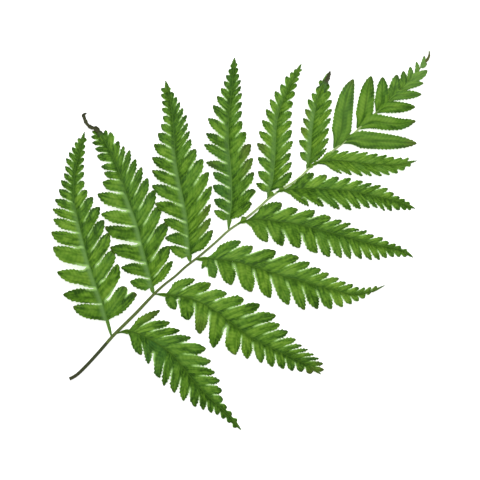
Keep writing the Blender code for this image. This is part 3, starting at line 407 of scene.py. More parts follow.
def between(pair, share):
    return pair[0] + (pair[1] - pair[0]) * share


def smooth_step(low, high, value):
    x = np.clip((value - low) / (high - low), 0, 1)
    return x * x * (3 - 2 * x)


def side_normal(line):
    """Unit normals of a line, to the left of its direction."""
    d = np.gradient(line, axis=0)
    d /= np.linalg.norm(d, axis=-1, keepdims=True)
    return np.stack([-d[:, 1], d[:, 0]], -1)


def turned(x, y):
    """Points of the sheet in the frame of the part, in mm."""
    a = math.radians(STALK_ANGLE_DEG)
    return x * math.sin(a) + y * math.cos(a) - CENTRE_X, x * math.cos(a) - y * math.sin(a) - CENTRE_Y


def top_points(flat, z):
    """Points of the top face of a leaf that lies over places of the sheet, z above its lowest height."""
    x, y = turned(flat[..., 0], flat[..., 1])
    return np.stack([x, y, np.maximum(z, 0.0) + SHEET + CLEARANCE], -1)


def single(spec, key, what, i, plain=0.0):
    """What the values of a pinna say of one pinnule of one side, or the plain value."""
    return spec.get(f"{key}_{what}", {}).get(i, plain)


def pinnule_axes(spec, rib, key):
    """Centre line of every pinnule of one side, as a bent line from the rib to its tip."""
    tips = spec[key]
    lean = spec["lean"][:2] if key == "near" else spec["lean"][2:]
    axes, roots = [], []
    last = spec["bare"] + 0.5
    for i, tip in enumerate(tips):
        tip = np.array(tip, float)
        share = i / max(1, len(tips) - 1)
        s_tip, reach = rib.nearest(tip)
        s = s_tip - reach / math.tan(math.radians(between(lean, share)))
        s += single(spec, key, "shift", i)
        last = min(max(s, last + ROOT_SPACING), rib.length - 0.5)
        root = rib.at(last)
        d = tip - root
        tip = tip + d / np.hypot(*d) * PINNULE_REACH
        d = tip - root
        across = np.array([-d[1], d[0]])
        if across @ rib.tangent(last) > 0:
            across = -across
        mid = (root + tip) / 2 + across * PINNULE_BEND * (2 - share)
        t = np.linspace(0, 1, ROWS + 1)[:, None]
        axes.append((1 - t) ** 2 * root + 2 * t * (1 - t) * mid + t * t * tip)
        roots.append(last)
    return axes, roots


def half_gap(axis, other):
    """Half the distance from each point of one centre line to the neighbouring one."""
    line = np.vstack([other, other[-1] + (other[-1] - other[-2]) * 8])
    steps = line[1:] - line[:-1]
    dense = np.vstack([line[:-1] + steps * u for u in (0, 0.25, 0.5, 0.75)] + [line[-1:]])
    return np.min(np.linalg.norm(axis[:, None] - dense[None], axis=-1), axis=1) / 2


def open_slit(deep, t):
    """Half the open space along a slit that takes up the outer part of two pinnules."""
    open_part = np.clip((t - 1 + deep) / max(LEAST_CUT, deep), 0, 1)
    inner_end = smooth_step(0.0, 0.10, open_part) * (1 - smooth_step(0.2, 0.55, open_part))
    return SLIT * (SLIT_END * inner_end + open_part ** 0.6 * smooth_step(0.1, 0.6, open_part))


def pinnules_of(spec, rib, key):
    """The pinnules of one side with their half widths towards the foot and towards the tip of the pinna."""
    axes, roots = pinnule_axes(spec, rib, key)
    cut = spec["cut"][:2] if key == "near" else spec["cut"][2:]
    plain = spec.get(key + "_plain", (1.0, 1.0))
    t = np.linspace(0, 1, ROWS + 1)
    middle = (t > PINNULE_MIDDLE[0]) & (t < PINNULE_MIDDLE[1])
    tapers = {}
    for side in ("prox", "dist"):
        late, round_off = BLUNTNESS[(key, side)]
        tapers[side] = (1 - t ** late) ** round_off
    count = len(axes)
    out = []
    for i, axis in enumerate(axes):
        p = dict(s=roots[i], axis=axis, length=float(np.hypot(*(axis[-1] - axis[0]))))
        for side, j in (("prox", i - 1), ("dist", i + 1)):
            if not 0 <= j < count:
                continue
            share = (i + j) / 2 / max(1, count - 1)
            deep = single(spec, key, "cuts", min(i, j), between(cut, share))
            deep = deep * (1 - spec["end_closing"] * smooth_step(0.72, 1.0, share))
            start = 1 - deep
            room = half_gap(axis, axes[j])
            cap = WIDTH_CAP * np.median(room[middle])
            room = room - open_slit(deep, t)
            own = single(spec, key, "widths", i, plain)[0 if side == "prox" else 1]
            theirs = single(spec, key, "widths", j, plain)[1 if side == "prox" else 0]
            width = np.minimum(room, cap * tapers[side]) * own
            inner = 1 - smooth_step(start, start + SLIT_NARROWS[0], t)
            width = width + SLIT_NARROWS[1] * inner * np.maximum(room - width, 0)
            p[side] = np.clip(width, 0, np.maximum(room, 0) * (2 - min(1.0, theirs)))
            p["start_" + side] = start
        if "prox" not in p:
            widest, opened = spec["foot_" + key]
            p["prox"] = widest * tapers["prox"] * np.clip(opened + t * FOOT_OPENING, 0, 1)
        if "dist" not in p:
            p["dist"] = np.median(p["prox"][middle]) * tapers["dist"]
        out.append(p)
    return out


def rib_height(s, length):
    """Height of the underside of a pinna along its rib: up from the stalk, over an arch, down to the tip."""
    u = np.clip(s / length, 0, 1)
    arch = (ARCH_BASE + ARCH_PER_LENGTH * length) * np.sin(math.pi * u ** 0.75)
    return np.maximum(0.0, ARCH_START * (1 - u) ** 6 + arch)


def select_only(*objs):
    bpy.ops.object.select_all(action="DESELECT")
    for obj in objs:
        obj.select_set(True)
    bpy.context.view_layer.objects.active = objs[0]


BLANKS = {}


def blank_grid(columns, rows):
    """A flat grid of faces, made once for each size and copied for every leaf that needs it."""
    if (columns, rows) not in BLANKS:
        bpy.ops.object.select_all(action="DESELECT")
        bpy.ops.mesh.primitive_grid_add(x_subdivisions=columns, y_subdivisions=rows, size=1.0)
        blank = bpy.context.active_object
        blank.name = f"blank_{columns}_{rows}"
        co = np.empty(len(blank.data.vertices) * 3)
        blank.data.vertices.foreach_get("co", co)
        co = co.reshape(-1, 3)
        col = np.rint((co[:, 0] + 0.5) * columns).astype(int)
        row = np.rint((co[:, 1] + 0.5) * rows).astype(int)
        blank.hide_render = True
        BLANKS[(columns, rows)] = (blank, col, row)
    return BLANKS[(columns, rows)]


def laid_grid(place, **marks):
    """A copy of the blank grid with its corners at place[row, column] in mm and its marks as named values."""
    rows, columns = place.shape[0] - 1, place.shape[1] - 1
    blank, col, row = blank_grid(columns, rows)
    obj = bpy.data.objects.new("grid", blank.data.copy())
    bpy.context.scene.collection.objects.link(obj)
    obj.data.vertices.foreach_set("co", (place[row, col] * MM).ravel())
    for mark, values in marks.items():
        layer = obj.data.attributes.new(mark, "FLOAT", "POINT")
        values = np.broadcast_to(values, place.shape[:2])[row, col]
        layer.data.foreach_set("value", values.astype(float))
    obj.data.update()
    return obj


def joined(parts, name=None):
    """The parts made into one object, of that name if one is given."""
    select_only(*parts)
    if len(parts) > 1:
        bpy.ops.object.join()
    if name:
        parts[0].name = parts[0].data.name = name
    return parts[0]


def edited(obj, action, **settings):
    """Runs one mesh action on the whole of an object."""
    select_only(obj)
    bpy.ops.object.mode_set(mode="EDIT")
    bpy.ops.mesh.select_all(action="SELECT")
    action(**settings)
    bpy.ops.mesh.select_all(action="DESELECT")
    bpy.ops.object.mode_set(mode="OBJECT")


def dressed(obj, *finishes):
    obj.data.materials.clear()
    for finish in finishes:
        obj.data.materials.append(MATERIALS[finish])


def leaf(grids, weld=WELD, top="leaf_top", under="leaf_under"):
    """The grids welded into one sheet that looks up, dressed, and given its thickness downwards."""
    sheet = joined(grids)
    edited(sheet, bpy.ops.mesh.remove_doubles, threshold=weld * MM)
    faces = sheet.data.polygons
    normals = np.empty(len(faces) * 3)
    faces.foreach_get("normal", normals)
    if normals.reshape(-1, 3)[:, 2].sum() < 0:
        sheet.data.flip_normals()
    dressed(sheet, top, under)
    solid = sheet.modifiers.new("thickness", "SOLIDIFY")
    solid.thickness = SHEET * MM
    solid.offset = -1.0
    solid.use_even_offset = False
    solid.use_rim = True
    solid.material_offset = 1
    solid.material_offset_rim = 0
    select_only(sheet)
    bpy.ops.object.modifier_apply(modifier=solid.name)
    return sheet


def rounded(obj, angle=SMOOTH_ANGLE_DEG):
    select_only(obj)
    bpy.ops.object.shade_smooth_by_angle(angle=math.radians(angle))
    return obj


def strip(rib, s, u, reach, z):
    """The corners of a sheet along a rib: u is how far across, reach the half width there, z the height."""
    centre = rib.at(s)
    return top_points(centre[:, None] + side_normal(centre)[:, None] * (reach * u)[..., None], z)


def saw(t, teeth, amplitude, uneven=None):
    """How far each row of an edge stands out: teeth that point towards the tip."""
    place = np.arange(len(t)) * teeth / (len(t) - 1)
    each = 1.0 if uneven is None else uneven[np.minimum(place.astype(int), teeth - 1)]
    return amplitude * each * ((place % 1.0) / (1 - teeth / (len(t) - 1)) - 0.45)


def quilted(vein, w, t, relief):
    """The relief of the side veins: nothing at the midvein, and fading towards the foot of the leaf."""
    return relief * np.sin(2 * math.pi * vein) * w * (1.2 - w) * 4 * smooth_step(0.05, 0.2, t)


def tooth_count(length):
    return next(teeth for least, teeth in TEETH if length >= least)


def edge_line(rib, p, side, other, rng):
    """The edge of a pinnule towards its neighbour: their shared line up to the slit, then its own teeth."""
    t = np.linspace(0, 1, ROWS + 1)
    axis = p["axis"]
    normal = side_normal(axis)
    if (normal[0] @ rib.tangent(p["s"]) > 0) != (side == "dist"):
        normal = -normal
    if other is None:
        shared = rib.at(p["edge_s_" + side]) + (axis - axis[0]) * 0.6
        lag = 0.0
        open_at = 0.1
        blend = smooth_step(0.0, 0.28, t)
        seam = 0 * t
        calm = 1.0
    else:
        shared = (axis + other["axis"]) / 2
        ahead = axis[6] - axis[0]
        lag = np.clip((shared[0] - axis[0]) @ ahead / np.hypot(*ahead) / p["length"], -0.45, 0.45)
        open_at = p["start_" + side]
        blend = smooth_step(open_at - 0.02, open_at + 0.06, t)
        seam = smooth_step(open_at - 0.16, open_at, t) * (1 - smooth_step(open_at + 0.12, open_at + 0.34, t))
        calm = p["calm"] + (1 - p["calm"]) * smooth_step(0.5, 0.8, t)
    own = lag + (1 - lag) * t
    teeth = tooth_count(p["length"])
    amplitude = np.clip(TOOTH_SHARE * p["length"], TOOTH_LEAST, TOOTH_MOST)
    uneven = rng.uniform(*TOOTH_UNEVEN, teeth)
    ramp = smooth_step(open_at + 0.02, open_at + 0.14, t) * (1 - smooth_step(0.93, 1.0, t)) * calm
    reach = np.maximum(np.interp(own, t, p[side]), 0) + saw(t, teeth, amplitude, uneven) * ramp
    centre = np.stack([np.interp(own, t, axis[:, k]) for k in (0, 1)], -1)
    centre = centre + np.minimum(own, 0)[:, None] * (axis[1] - axis[0]) * ROWS
    outwards = np.stack([np.interp(own, t, normal[:, k]) for k in (0, 1)], -1)
    free = centre + outwards * np.maximum(reach, 0.0)[:, None]
    return shared * (1 - blend[:, None]) + free * blend[:, None], blend, seam


def pinnule_grid(spec, key, i, rib, pins, rng):
    """One pinnule as a grid: midvein, crowned halves, toothed edges."""
    p = pins[i]
    before = pins[i - 1] if i > 0 else None
    after = pins[i + 1] if i + 1 < len(pins) else None
    p["edge_s_prox"] = (before["s"] + p["s"]) / 2 if before else spec["bare"]
    p["edge_s_dist"] = (after["s"] + p["s"]) / 2 if after \
        else min(rib.length, p["s"] + LAST_EDGE * float(np.median(p["dist"][4:16])))
    p["calm"] = CALM[key]
    prox, free_prox, seam_prox = edge_line(rib, p, "prox", before, rng)
    dist, free_dist, seam_dist = edge_line(rib, p, "dist", after, rng)
    size = min(1.0, p["length"] / FULL_PINNULE)
    twist = rng.normal(0, PINNULE_TURN) * size
    lift = rng.normal(0, PINNULE_TURN) * size
    teeth = tooth_count(p["length"])

    t = np.linspace(0, 1, ROWS + 1)[:, None]
    w = np.abs(ACROSS)
    edge = np.where((ACROSS < 0)[:, None], prox[:, None], dist[:, None])
    free = np.where(ACROSS < 0, free_prox[:, None], free_dist[:, None])
    flat = p["axis"][:, None] * (1 - w)[:, None] + edge * w[:, None]
    s = p["s"] + (np.where(ACROSS < 0, p["edge_s_prox"], p["edge_s_dist"]) - p["s"]) * w
    z = rib_height(s + 4.0 * t, rib.length) * (1 - DROOP[key] * t ** 1.5)
    z = z - CROWN * w ** 2 * smooth_step(0, 0.3, t)
    z = z + RIB_LIFT * (1 - 0.45 * s / rib.length) * (1 - smooth_step(0, 0.22, t))
    sunk = MIDVEIN_DEPTH * (0.4 + 0.6 * size) * np.exp(-(w / MIDVEIN_WIDTH) ** 2)
    z = z - sunk * smooth_step(0, 0.15, t) * (1 - t) ** 0.4
    loose = free * w + smooth_step(0.3, 0.8, t) * (1 - w)
    z = z + twist * ACROSS * free + lift * smooth_step(0.45, 1.0, t) * loose
    vein = t * teeth - VEIN_SLANT * w
    z = z + quilted(vein, w, t, VEIN_RELIEF * (0.5 + 0.5 * size))

    away = np.linalg.norm(flat[:, :, None] - rib.p[::3], axis=-1).min(axis=-1)
    share = p["s"] / rib.length
    band = np.exp(-((away - BLOOM_BAND[0]) / BLOOM_BAND[1]) ** 2) if key == "near" else 0.0
    bloom = spec["bloom"] * band * (1 - smooth_step(0.5, 0.72, share))
    # channel: how dark the painted shade in the groove along the rib is here
    channel = spec["channel"] * (0.6 + 0.4 * smooth_step(0.2, 0.6, share))
    # a folded pinnule gets a deeper green: painted shadow of its fold
    shade = spec["shade"] + rng.normal(0, SHADE_SPREAD) + single(spec, key, "fold_shadow", i)
    shade = shade + spec["end_depth"] * smooth_step(0.55, 0.95, share)
    dry = max(single(spec, key, "dry", i), spec["dry_end"] * smooth_step(0.84, 0.94, share))
    return laid_grid(
        top_points(flat, z), along=t, across=w, turn=ACROSS, free=free, vein=vein, bloom=bloom, shade=shade,
        # groove: painted shade along the rib, weaker where the bloom lies
        groove=channel * np.exp(-(away / CHANNEL_WIDTH) ** 2) * (1 - 0.6 * bloom),
        seam=np.where(ACROSS < 0, seam_prox[:, None], seam_dist[:, None]),
        cool=rng.uniform(0, COOL_SPREAD) + single(spec, key, "cool", i), dry=dry * smooth_step(0.25, 0.75, t))


def foot_wing(spec, rib, first):
    """The thin green edge that runs from the first pinnules down the foot of a pinna to the stalk."""
    bare = spec["bare"]
    reach = bare + FOOT_OVERLAP
    s = np.linspace(0.0, reach, FOOT_ROWS + 1)
    near, far = [np.interp(s, [0.0, 0.5 * bare, bare, reach],
                           [spec["foot_start"], low * spec["foot_slim"], high, high * 0.7])[:, None]
                 for low, high in (spec["base"][:2], spec["base"][2:])]
    outwards = first["axis"][-1] - first["axis"][0]
    way = -1 if side_normal(rib.at(s))[4] @ outwards > 0 else 1
    z = rib_height(s, rib.length)[:, None] + 0.3 - 0.25 * np.abs(FOOT_ACROSS)
    place = strip(rib, s, FOOT_ACROSS, way * np.where(FOOT_ACROSS < 0, near, far), z)
    return leaf([laid_grid(
        place, along=0.2, across=np.abs(FOOT_ACROSS), turn=FOOT_ACROSS, free=0.3,
        # groove: painted shade along the rib of the foot
        groove=0.55 * np.exp(-(FOOT_ACROSS / 0.5) ** 2), cool=COOL_PLAIN, shade=spec["shade"])])


def end_lobe(spec, rib, s0):
    """The toothed lobe that ends a pinna, round the last of its rib."""
    half_width = spec["end_lobe"]
    teeth = max(3, int((rib.length - s0) / END_TOOTH))
    t = np.linspace(0, 1, teeth * TOOTH_ROWS + 1)
    s = s0 + (rib.length - s0) * t
    ramp = smooth_step(0.0, 0.2, t) * (1 - smooth_step(0.96, 1.0, t))
    reach = half_width * np.clip(t * 5, 0.3, 1) * (1 - t ** 2.2) ** 0.8
    reach = np.maximum(reach + saw(t, teeth, END_TOOTH_SHARE * half_width) * ramp, 0)
    w = np.abs(END_ACROSS)
    place = strip(rib, s, END_ACROSS, reach[:, None], rib_height(s, rib.length)[:, None] + 0.25 - 0.3 * w)
    t = t[:, None]
    return leaf([laid_grid(
        place, along=0.3 + 0.5 * t, across=w, turn=END_ACROSS, free=ramp[:, None], vein=t * teeth,
        # groove: painted shade along the rib, strongest in the middle of the lobe
        groove=0.75 - 0.5 * w, cool=COOL_PLAIN, shade=spec["shade"], dry=0.7 * spec["dry_end"])])


def rib_tube(rib, s0, s1, width, depth, height, groove, sides, step):
    """A rod along a rib with a groove along its top; both ends close to a point in their last ring."""
    count = max(4, int((s1 - s0) / step))
    s = np.r_[s0, np.linspace(s0, s1, count + 1), s1]
    shrink = np.ones(len(s))
    shrink[[0, -1]] = 0.0
    tangent = rib.tangent(s)
    normal = np.stack([-tangent[:, 1], tangent[:, 0]], -1)
    tall = depth(s) / 2
    ring = np.arange(sides + 1) / sides
    across = np.cos(2 * math.pi * ring)
    up = np.sin(2 * math.pi * ring)
    dip = np.where(up > 0, groove * np.exp(-(across / GROOVE_WIDTH) ** 2), 0.0)
    out = (width(s) / 2 * shrink)[:, None] * across
    flat = rib.at(s)[:, None] + normal[:, None] * out[..., None]
    x, y = turned(flat[..., 0], flat[..., 1])
    z = (height(s) + tall)[:, None] + (tall * shrink)[:, None] * (up - 2 * dip)
    along = ((s - s0) / (s1 - s0))[:, None]
    tube = laid_grid(np.stack([x, y, z], -1), along=along, across=ring)
    edited(tube, bpy.ops.mesh.remove_doubles, threshold=RING_WELD * MM)
    edited(tube, bpy.ops.mesh.normals_make_consistent, inside=False)
    return tube


def pinna_piece(pinna, rng):
    """One pinna: a sheet of pinnules to each side of its rib, the foot, the end, and the rib itself."""
    spec = PINNAE[pinna]
    rib = Rib(spec["costa"])
    length = rib.length
    sides = {key: pinnules_of(spec, rib, key) for key in ("near", "far")}
    shells = []
    for key, pins in sides.items():
        grids = [pinnule_grid(spec, key, i, rib, pins, rng) for i in range(len(pins))]
        shells.append(leaf(grids, SEAM_WELD))
    shells.append(foot_wing(spec, rib, sides["near"][0]))
    shells.append(end_lobe(spec, rib, min(pins[-1]["s"] for pins in sides.values()) - END_OVERLAP))
    tube = rib_tube(
        rib, 0.0, length - RIB_SHORT,
        lambda s: between((RIB_WIDTH, RIB_WIDTH_TIP), np.clip(s / length, 0, 1) ** 0.8),
        lambda s: between((RIB_DEPTH, RIB_DEPTH_TIP), np.clip(s / length, 0, 1)),
        lambda s: rib_height(s, length), RIB_GROOVE, RIB_SIDES, RIB_STEP)
    dressed(tube, "rib_left" if pinna.startswith("left") else "rib_right")
    return rounded(joined(shells + [tube], "pinna_" + pinna))


def leaflet_piece(name, points, width, rng):
    """A simple toothed leaflet of the upper part, as one sheet with its midrib."""
    rib = Rib(points, 160)
    length = rib.length
    teeth = max(3, int(round(length / LEAFLET_TOOTH)))
    t = np.linspace(0, 1, teeth * TOOTH_ROWS + 1)
    late, round_off = LEAFLET_BLUNTNESS
    reach = width / 2 * np.minimum(1.0, 0.16 + t * 3.2) * np.maximum(1 - t ** late, 0) ** round_off
    ramp = smooth_step(0.10, 0.3, t) * (1 - smooth_step(0.96, 1.0, t))
    by_width, least, most = LEAFLET_TEETH
    uneven = rng.uniform(*LEAFLET_UNEVEN, teeth)
    reach = np.maximum(reach + saw(t, teeth, min(most, by_width * width + least), uneven) * ramp, 0)
    s = t * length
    t = t[:, None]
    w = np.abs(ACROSS)
    lift = LEAFLET_LIFT + LEAFLET_LIFT_PER_LENGTH * length
    z = lift * np.sin(math.pi * np.minimum(1.0, t * 0.9 + 0.08))
    z = z - LEAFLET_CROWN * w ** 2 * smooth_step(0, 0.2, t)
    sunk = MIDVEIN_DEPTH * np.exp(-(w / MIDVEIN_WIDTH) ** 2) * min(1, width / 10)
    z = z - sunk * np.clip((1 - t) * 3, 0, 1)
    z = z + rng.normal(0, LEAFLET_TURN) * ACROSS * np.sin(math.pi * t)
    vein = t * teeth - LEAFLET_VEIN_SLANT * w
    z = z + quilted(vein, w, t, 0.5 * VEIN_RELIEF * min(1.0, width / 14))
    dried = smooth_step(*LEAFLET_DRIED_FROM.get(name, LEAFLET_DRIED_ELSE), t)
    return leaf([laid_grid(
        strip(rib, s, ACROSS, reach[:, None], z), along=t, across=w, turn=ACROSS,
        # groove: painted shade in the sunk midrib
        free=smooth_step(0.02, 0.15, t), vein=vein, groove=0.5 * np.exp(-(w / MIDVEIN_WIDTH) ** 2),
        bloom=LEAFLET_BLOOM.get(name, 0.0), cool=COOL_PLAIN + rng.uniform(-0.2, 0.2),
        shade=LEAFLET_SHADES.get(name, 0.0), dry=LEAFLET_DRY.get(name, 0.0) * dried)])


def withered_piece(name, points, width_foot, width_end):
    """A dried end: a narrow strip, rolled and twisted along its length."""
    rib = Rib(points, 120)
    t = np.linspace(0, 1, WITHERED_ROWS + 1)
    u = np.linspace(-1, 1, WITHERED_COLUMNS + 1)
    w = np.abs(u)
    widths = [width_foot, (width_foot + width_end) / 2, width_end + 0.9, width_end * 0.7]
    wide = np.interp(t, [0, 0.45, 0.8, 1.0], widths) / 2
    wide = wide * (1 + 0.16 * np.sin(t * 31.0) + 0.10 * np.sin(t * 67.0 + 1.0))
    s = t * rib.length
    t = t[:, None]
    wide = wide[:, None]
    z = 0.5 - CLEARANCE + 1.6 * np.sin(math.pi * t)
    z = z + 0.55 * w ** 1.6 * wide * (0.5 + 0.5 * np.sin(t * 9.0)) + 0.12 * np.sin(t * 40.0 + u * 3.0)
    grid = laid_grid(strip(rib, s, u, wide, z), along=0.5 + 0.2 * t, across=w, free=1.0,
                     vein=t * 9, shade=0.6, dry=smooth_step(*DRIED_FROM[name], t) * 0.85)
    return leaf([grid], top="dried", under="dried")


def stalk_piece(name, s0, s1, finish):
    """A stretch of the stalk, flat on the surface."""
    def radius(s):
        return np.interp(s, *np.transpose(STALK_RADII))

    tube = rib_tube(stalk, s0, s1, lambda s: 2 * radius(s), lambda s: STALK_TALL * radius(s),
                    lambda s: 0 * s, STALK_GROOVE, STALK_SIDES, STALK_STEP)
    dressed(tube, finish)
    return rounded(joined([tube], name))


def socket_value(value):
    """A colour named as a screen shows it, as a socket needs it; a number stays as it is."""
    if not isinstance(value, tuple):
        return value
    shares = [c / 255 for c in value]
    return [c / 12.92 if c <= 0.04045 else ((c + 0.055) / 1.055) ** 2.4 for c in shares] + [1.0]


class Tree:
    """Short ways to place and wire shader nodes."""

    def __init__(self, tree):
        self.tree = tree

    def add(self, kind, inputs, **settings):
        """A node; each input is wired to the output given for it, or takes the number given."""
        node = self.tree.nodes.new(kind)
        for key, value in settings.items():
            setattr(node, key, value)
        for key, value in inputs.items():
            if isinstance(value, bpy.types.NodeSocket):
                self.tree.links.new(value, node.inputs[key])
            else:
                node.inputs[key].default_value = value
        return node

    def mark(self, name):
        return self.add("ShaderNodeAttribute", {}, attribute_name=name).outputs["Fac"]

    def math(self, operation, a, b=0.0, clamp=False):
        return self.add("ShaderNodeMath", {0: a, 1: b}, operation=operation, use_clamp=clamp).outputs[0]

    def plus(self, first, *others):
        for other in others:
            first = self.math("ADD", first, other)
        return first

    def times(self, first, *others):
        for other in others:
            first = self.math("MULTIPLY", first, other)
        return first

    def span(self, value, low, high, to_low=0.0, to_high=1.0):
        """A value that eases from to_low to to_high while another one goes from low to high."""
        ends = {"Value": value, "From Min": low, "From Max": high, "To Min": to_low, "To Max": to_high}
        return self.add("ShaderNodeMapRange", ends, interpolation_type="SMOOTHSTEP").outputs["Result"]

    def mix(self, share, a, b):
        """Two colours mixed; a mix node has them at its inputs 6 and 7 and gives the result at output 2."""
        return self.add("ShaderNodeMix", {0: share, 6: a, 7: b}, data_type="RGBA").outputs[2]

    def noise(self, scale, detail, rough, place=None):
        if place is None:
            place = self.add("ShaderNodeTexCoord", {}).outputs["Object"]
        inputs = {"Vector": place, "Scale": scale, "Detail": detail, "Roughness": rough}
        return self.add("ShaderNodeTexNoise", inputs).outputs["Fac"]


def tissue_group(name, inputs):
    """A node group with those colours and numbers as inputs; Colour, Roughness and Height come out."""
    group = bpy.data.node_groups.new(name, "ShaderNodeTree")
    for title, value in inputs.items():
        kind = "NodeSocketColor" if isinstance(value, tuple) else "NodeSocketFloat"
        made = group.interface.new_socket(title, in_out="INPUT", socket_type=kind)
        made.default_value = socket_value(value)
    group.interface.new_socket("Colour", in_out="OUTPUT", socket_type="NodeSocketColor")
    group.interface.new_socket("Roughness", in_out="OUTPUT", socket_type="NodeSocketFloat")
    group.interface.new_socket("Height", in_out="OUTPUT", socket_type="NodeSocketFloat")
    t = Tree(group)
    return group, t, t.add("NodeGroupInput", {}).outputs


def leaf_tissue_group():
    """The living leaf: mottled green, side veins, a midvein darkened by painted shade and browner tips."""
    group, t, given = tissue_group("leaf_tissue", {
        "Deep": (38, 74, 2), "Fresh": (86, 130, 26), "Pale": (128, 167, 54), "Dry": (80, 74, 34),
        "Bloom": (108, 148, 78), "Cool": (60, 110, 46), "Glow": (168, 214, 122), "Vein contrast": 0.16})
    along = t.mark("along")
    across = t.mark("across")
    turn = t.mark("turn")
    shade = t.mark("shade")
    broad = t.noise(85.0, 3.0, 0.55)
    fine = t.noise(330.0, 4.0, 0.62)
    # streaks that run out from the midvein along the leaf
    lay = {"X": t.times(t.plus(along, t.times(across, -0.16)), 2.8), "Y": t.times(turn, 2.1),
           "Z": t.times(shade, 9.0)}
    streaks = t.noise(1.0, 1.2, 0.6, t.add("ShaderNodeCombineXYZ", lay).outputs["Vector"])
    # the mottled body of the leaf; painted light makes the side towards the foot of the pinna a little
    # lighter
    mottle = t.plus(t.span(broad, 0.32, 0.68, -0.32, 0.32), t.span(fine, 0.3, 0.7, -0.12, 0.12),
                    t.span(streaks, 0.28, 0.72, -0.72, 0.72))
    body = t.plus(t.times(shade, -0.5), mottle, t.times(turn, -0.16), t.span(across, 0.35, 0.9, 0.16, -0.30),
                  t.span(along, 0.0, 0.3, -0.30, 0.0), t.span(along, 0.5, 1.0, 0.0, -0.7))
    colour = t.mix(t.math("MULTIPLY", body, -1.0, clamp=True), given["Fresh"], given["Deep"])
    colour = t.mix(t.times(t.math("MULTIPLY", body, 1.0, clamp=True), 0.75), colour, given["Pale"])
    colour = t.mix(t.times(t.mark("cool"), t.span(broad, 0.35, 0.65, 0.2, 0.75)), colour, given["Cool"])
    # side veins run from the midvein to the teeth
    wave = t.math("PINGPONG", t.mark("vein"), 0.5)
    line = t.times(t.span(wave, 0.0, 0.16, 1.0, 0.0), t.span(across, 0.05, 0.2))
    colour = t.mix(t.times(line, given["Vein contrast"]), colour, given["Pale"])
    colour = t.mix(t.span(wave, 0.25, 0.5, 0.0, 0.16), colour, given["Deep"])
    # the midvein and the channel along the rib, darkened with painted shade, and the dull bloom beside it
    colour = t.mix(t.span(across, 0.02, 0.18, 0.22, 0.0), colour, given["Deep"])
    colour = t.mix(t.times(t.mark("groove"), 0.8), colour, given["Deep"])
    colour = t.mix(t.times(t.mark("bloom"), 0.8), colour, given["Bloom"])
    # light comes through the thin edge at the inner end of each slit
    colour = t.mix(t.times(t.mark("seam"), t.span(across, 0.70, 0.98, 0.0, 0.9)), colour, given["Glow"])
    # painted light: a pale rim where light comes through the thin edge of the leaf; and browner tips
    colour = t.mix(t.times(t.span(across, 0.86, 1.0, 0.0, 0.45), t.mark("free")), colour, given["Pale"])
    tip = t.times(t.span(along, 0.84, 1.0, 0.0, 0.5), t.span(broad, 0.42, 0.6, 0.1, 1.0))
    colour = t.mix(t.math("MAXIMUM", tip, t.mark("dry")), colour, given["Dry"])
    height = t.plus(t.times(fine, 0.5), t.times(line, -0.6))
    t.add("NodeGroupOutput", {"Colour": colour, "Roughness": t.span(fine, 0.2, 0.8, 0.52, 0.68),
                              "Height": height})
    return group


def stem_tissue_group():
    """Stalk and ribs: fine lengthwise streaks between two colours along their length."""
    group, t, given = tissue_group("stem_tissue", {
        "Foot": (70, 70, 30), "Top": (150, 170, 90), "Groove": (60, 90, 20), "Flank": (100, 140, 64),
        "Crown": (92, 132, 44), "Flank share": 0.0, "Change from": 0.2, "Change to": 0.8,
        "Crown from": 2.0, "Crown to": 3.0})
    along = t.mark("along")
    ring = t.mark("across")
    patch = t.noise(130.0, 3.0, 0.6)
    colour = t.mix(t.span(along, given["Change from"], given["Change to"]), given["Foot"], given["Top"])
    colour = t.mix(t.span(along, given["Crown from"], given["Crown to"]), colour, given["Crown"])
    # the top of the ring of sides is at a quarter of the way round; painted shade darkens the groove there
    groove = t.span(t.math("ABSOLUTE", t.plus(ring, -0.25)), 0.0, 0.07, 0.65, 0.0)
    colour = t.mix(groove, colour, given["Groove"])
    streak = t.math("PINGPONG", t.plus(t.times(ring, 17.0), t.times(patch, 1.5)), 0.5)
    colour = t.mix(t.span(streak, 0.1, 0.45, 0.0, 0.22), colour, given["Groove"])
    colour = t.mix(t.span(patch, 0.35, 0.65, 0.0, 0.25), colour, given["Foot"])
    # the flank that looks towards the foot of the frond is paler low down
    flank = t.times(t.span(ring, 0.29, 0.42), t.span(ring, 0.6, 0.75, 1.0, 0.0), given["Flank share"],
                    t.span(along, 0.45, 0.8, 1.0, 0.0))
    colour = t.mix(flank, colour, given["Flank"])
    t.add("NodeGroupOutput", {"Colour": colour, "Roughness": t.span(patch, 0.3, 0.7, 0.45, 0.62),
                              "Height": streak})
    return group


SPECULAR = 0.12
BUMP_STRENGTH = 0.25
BUMP_DEPTH = 0.08 * MM


def tissue_material(name, group, values):
    mat = bpy.data.materials.new(name)
    mat.use_nodes = True
    t = Tree(mat.node_tree)
    tissue = t.add("ShaderNodeGroup", {}, node_tree=group)
    for key, value in values.items():
        tissue.inputs[key].default_value = socket_value(value)
    relief = t.add("ShaderNodeBump", {"Strength": BUMP_STRENGTH, "Distance": BUMP_DEPTH,
                                      "Height": tissue.outputs["Height"]})
    shader = mat.node_tree.nodes["Principled BSDF"]
    t.tree.links.new(relief.outputs["Normal"], shader.inputs["Normal"])
    t.tree.links.new(tissue.outputs["Colour"], shader.inputs["Base Color"])
    t.tree.links.new(tissue.outputs["Roughness"], shader.inputs["Roughness"])
    shader.inputs["Metallic"].default_value = 0.0
    shader.inputs["Specular IOR Level"].default_value = SPECULAR
    return mat


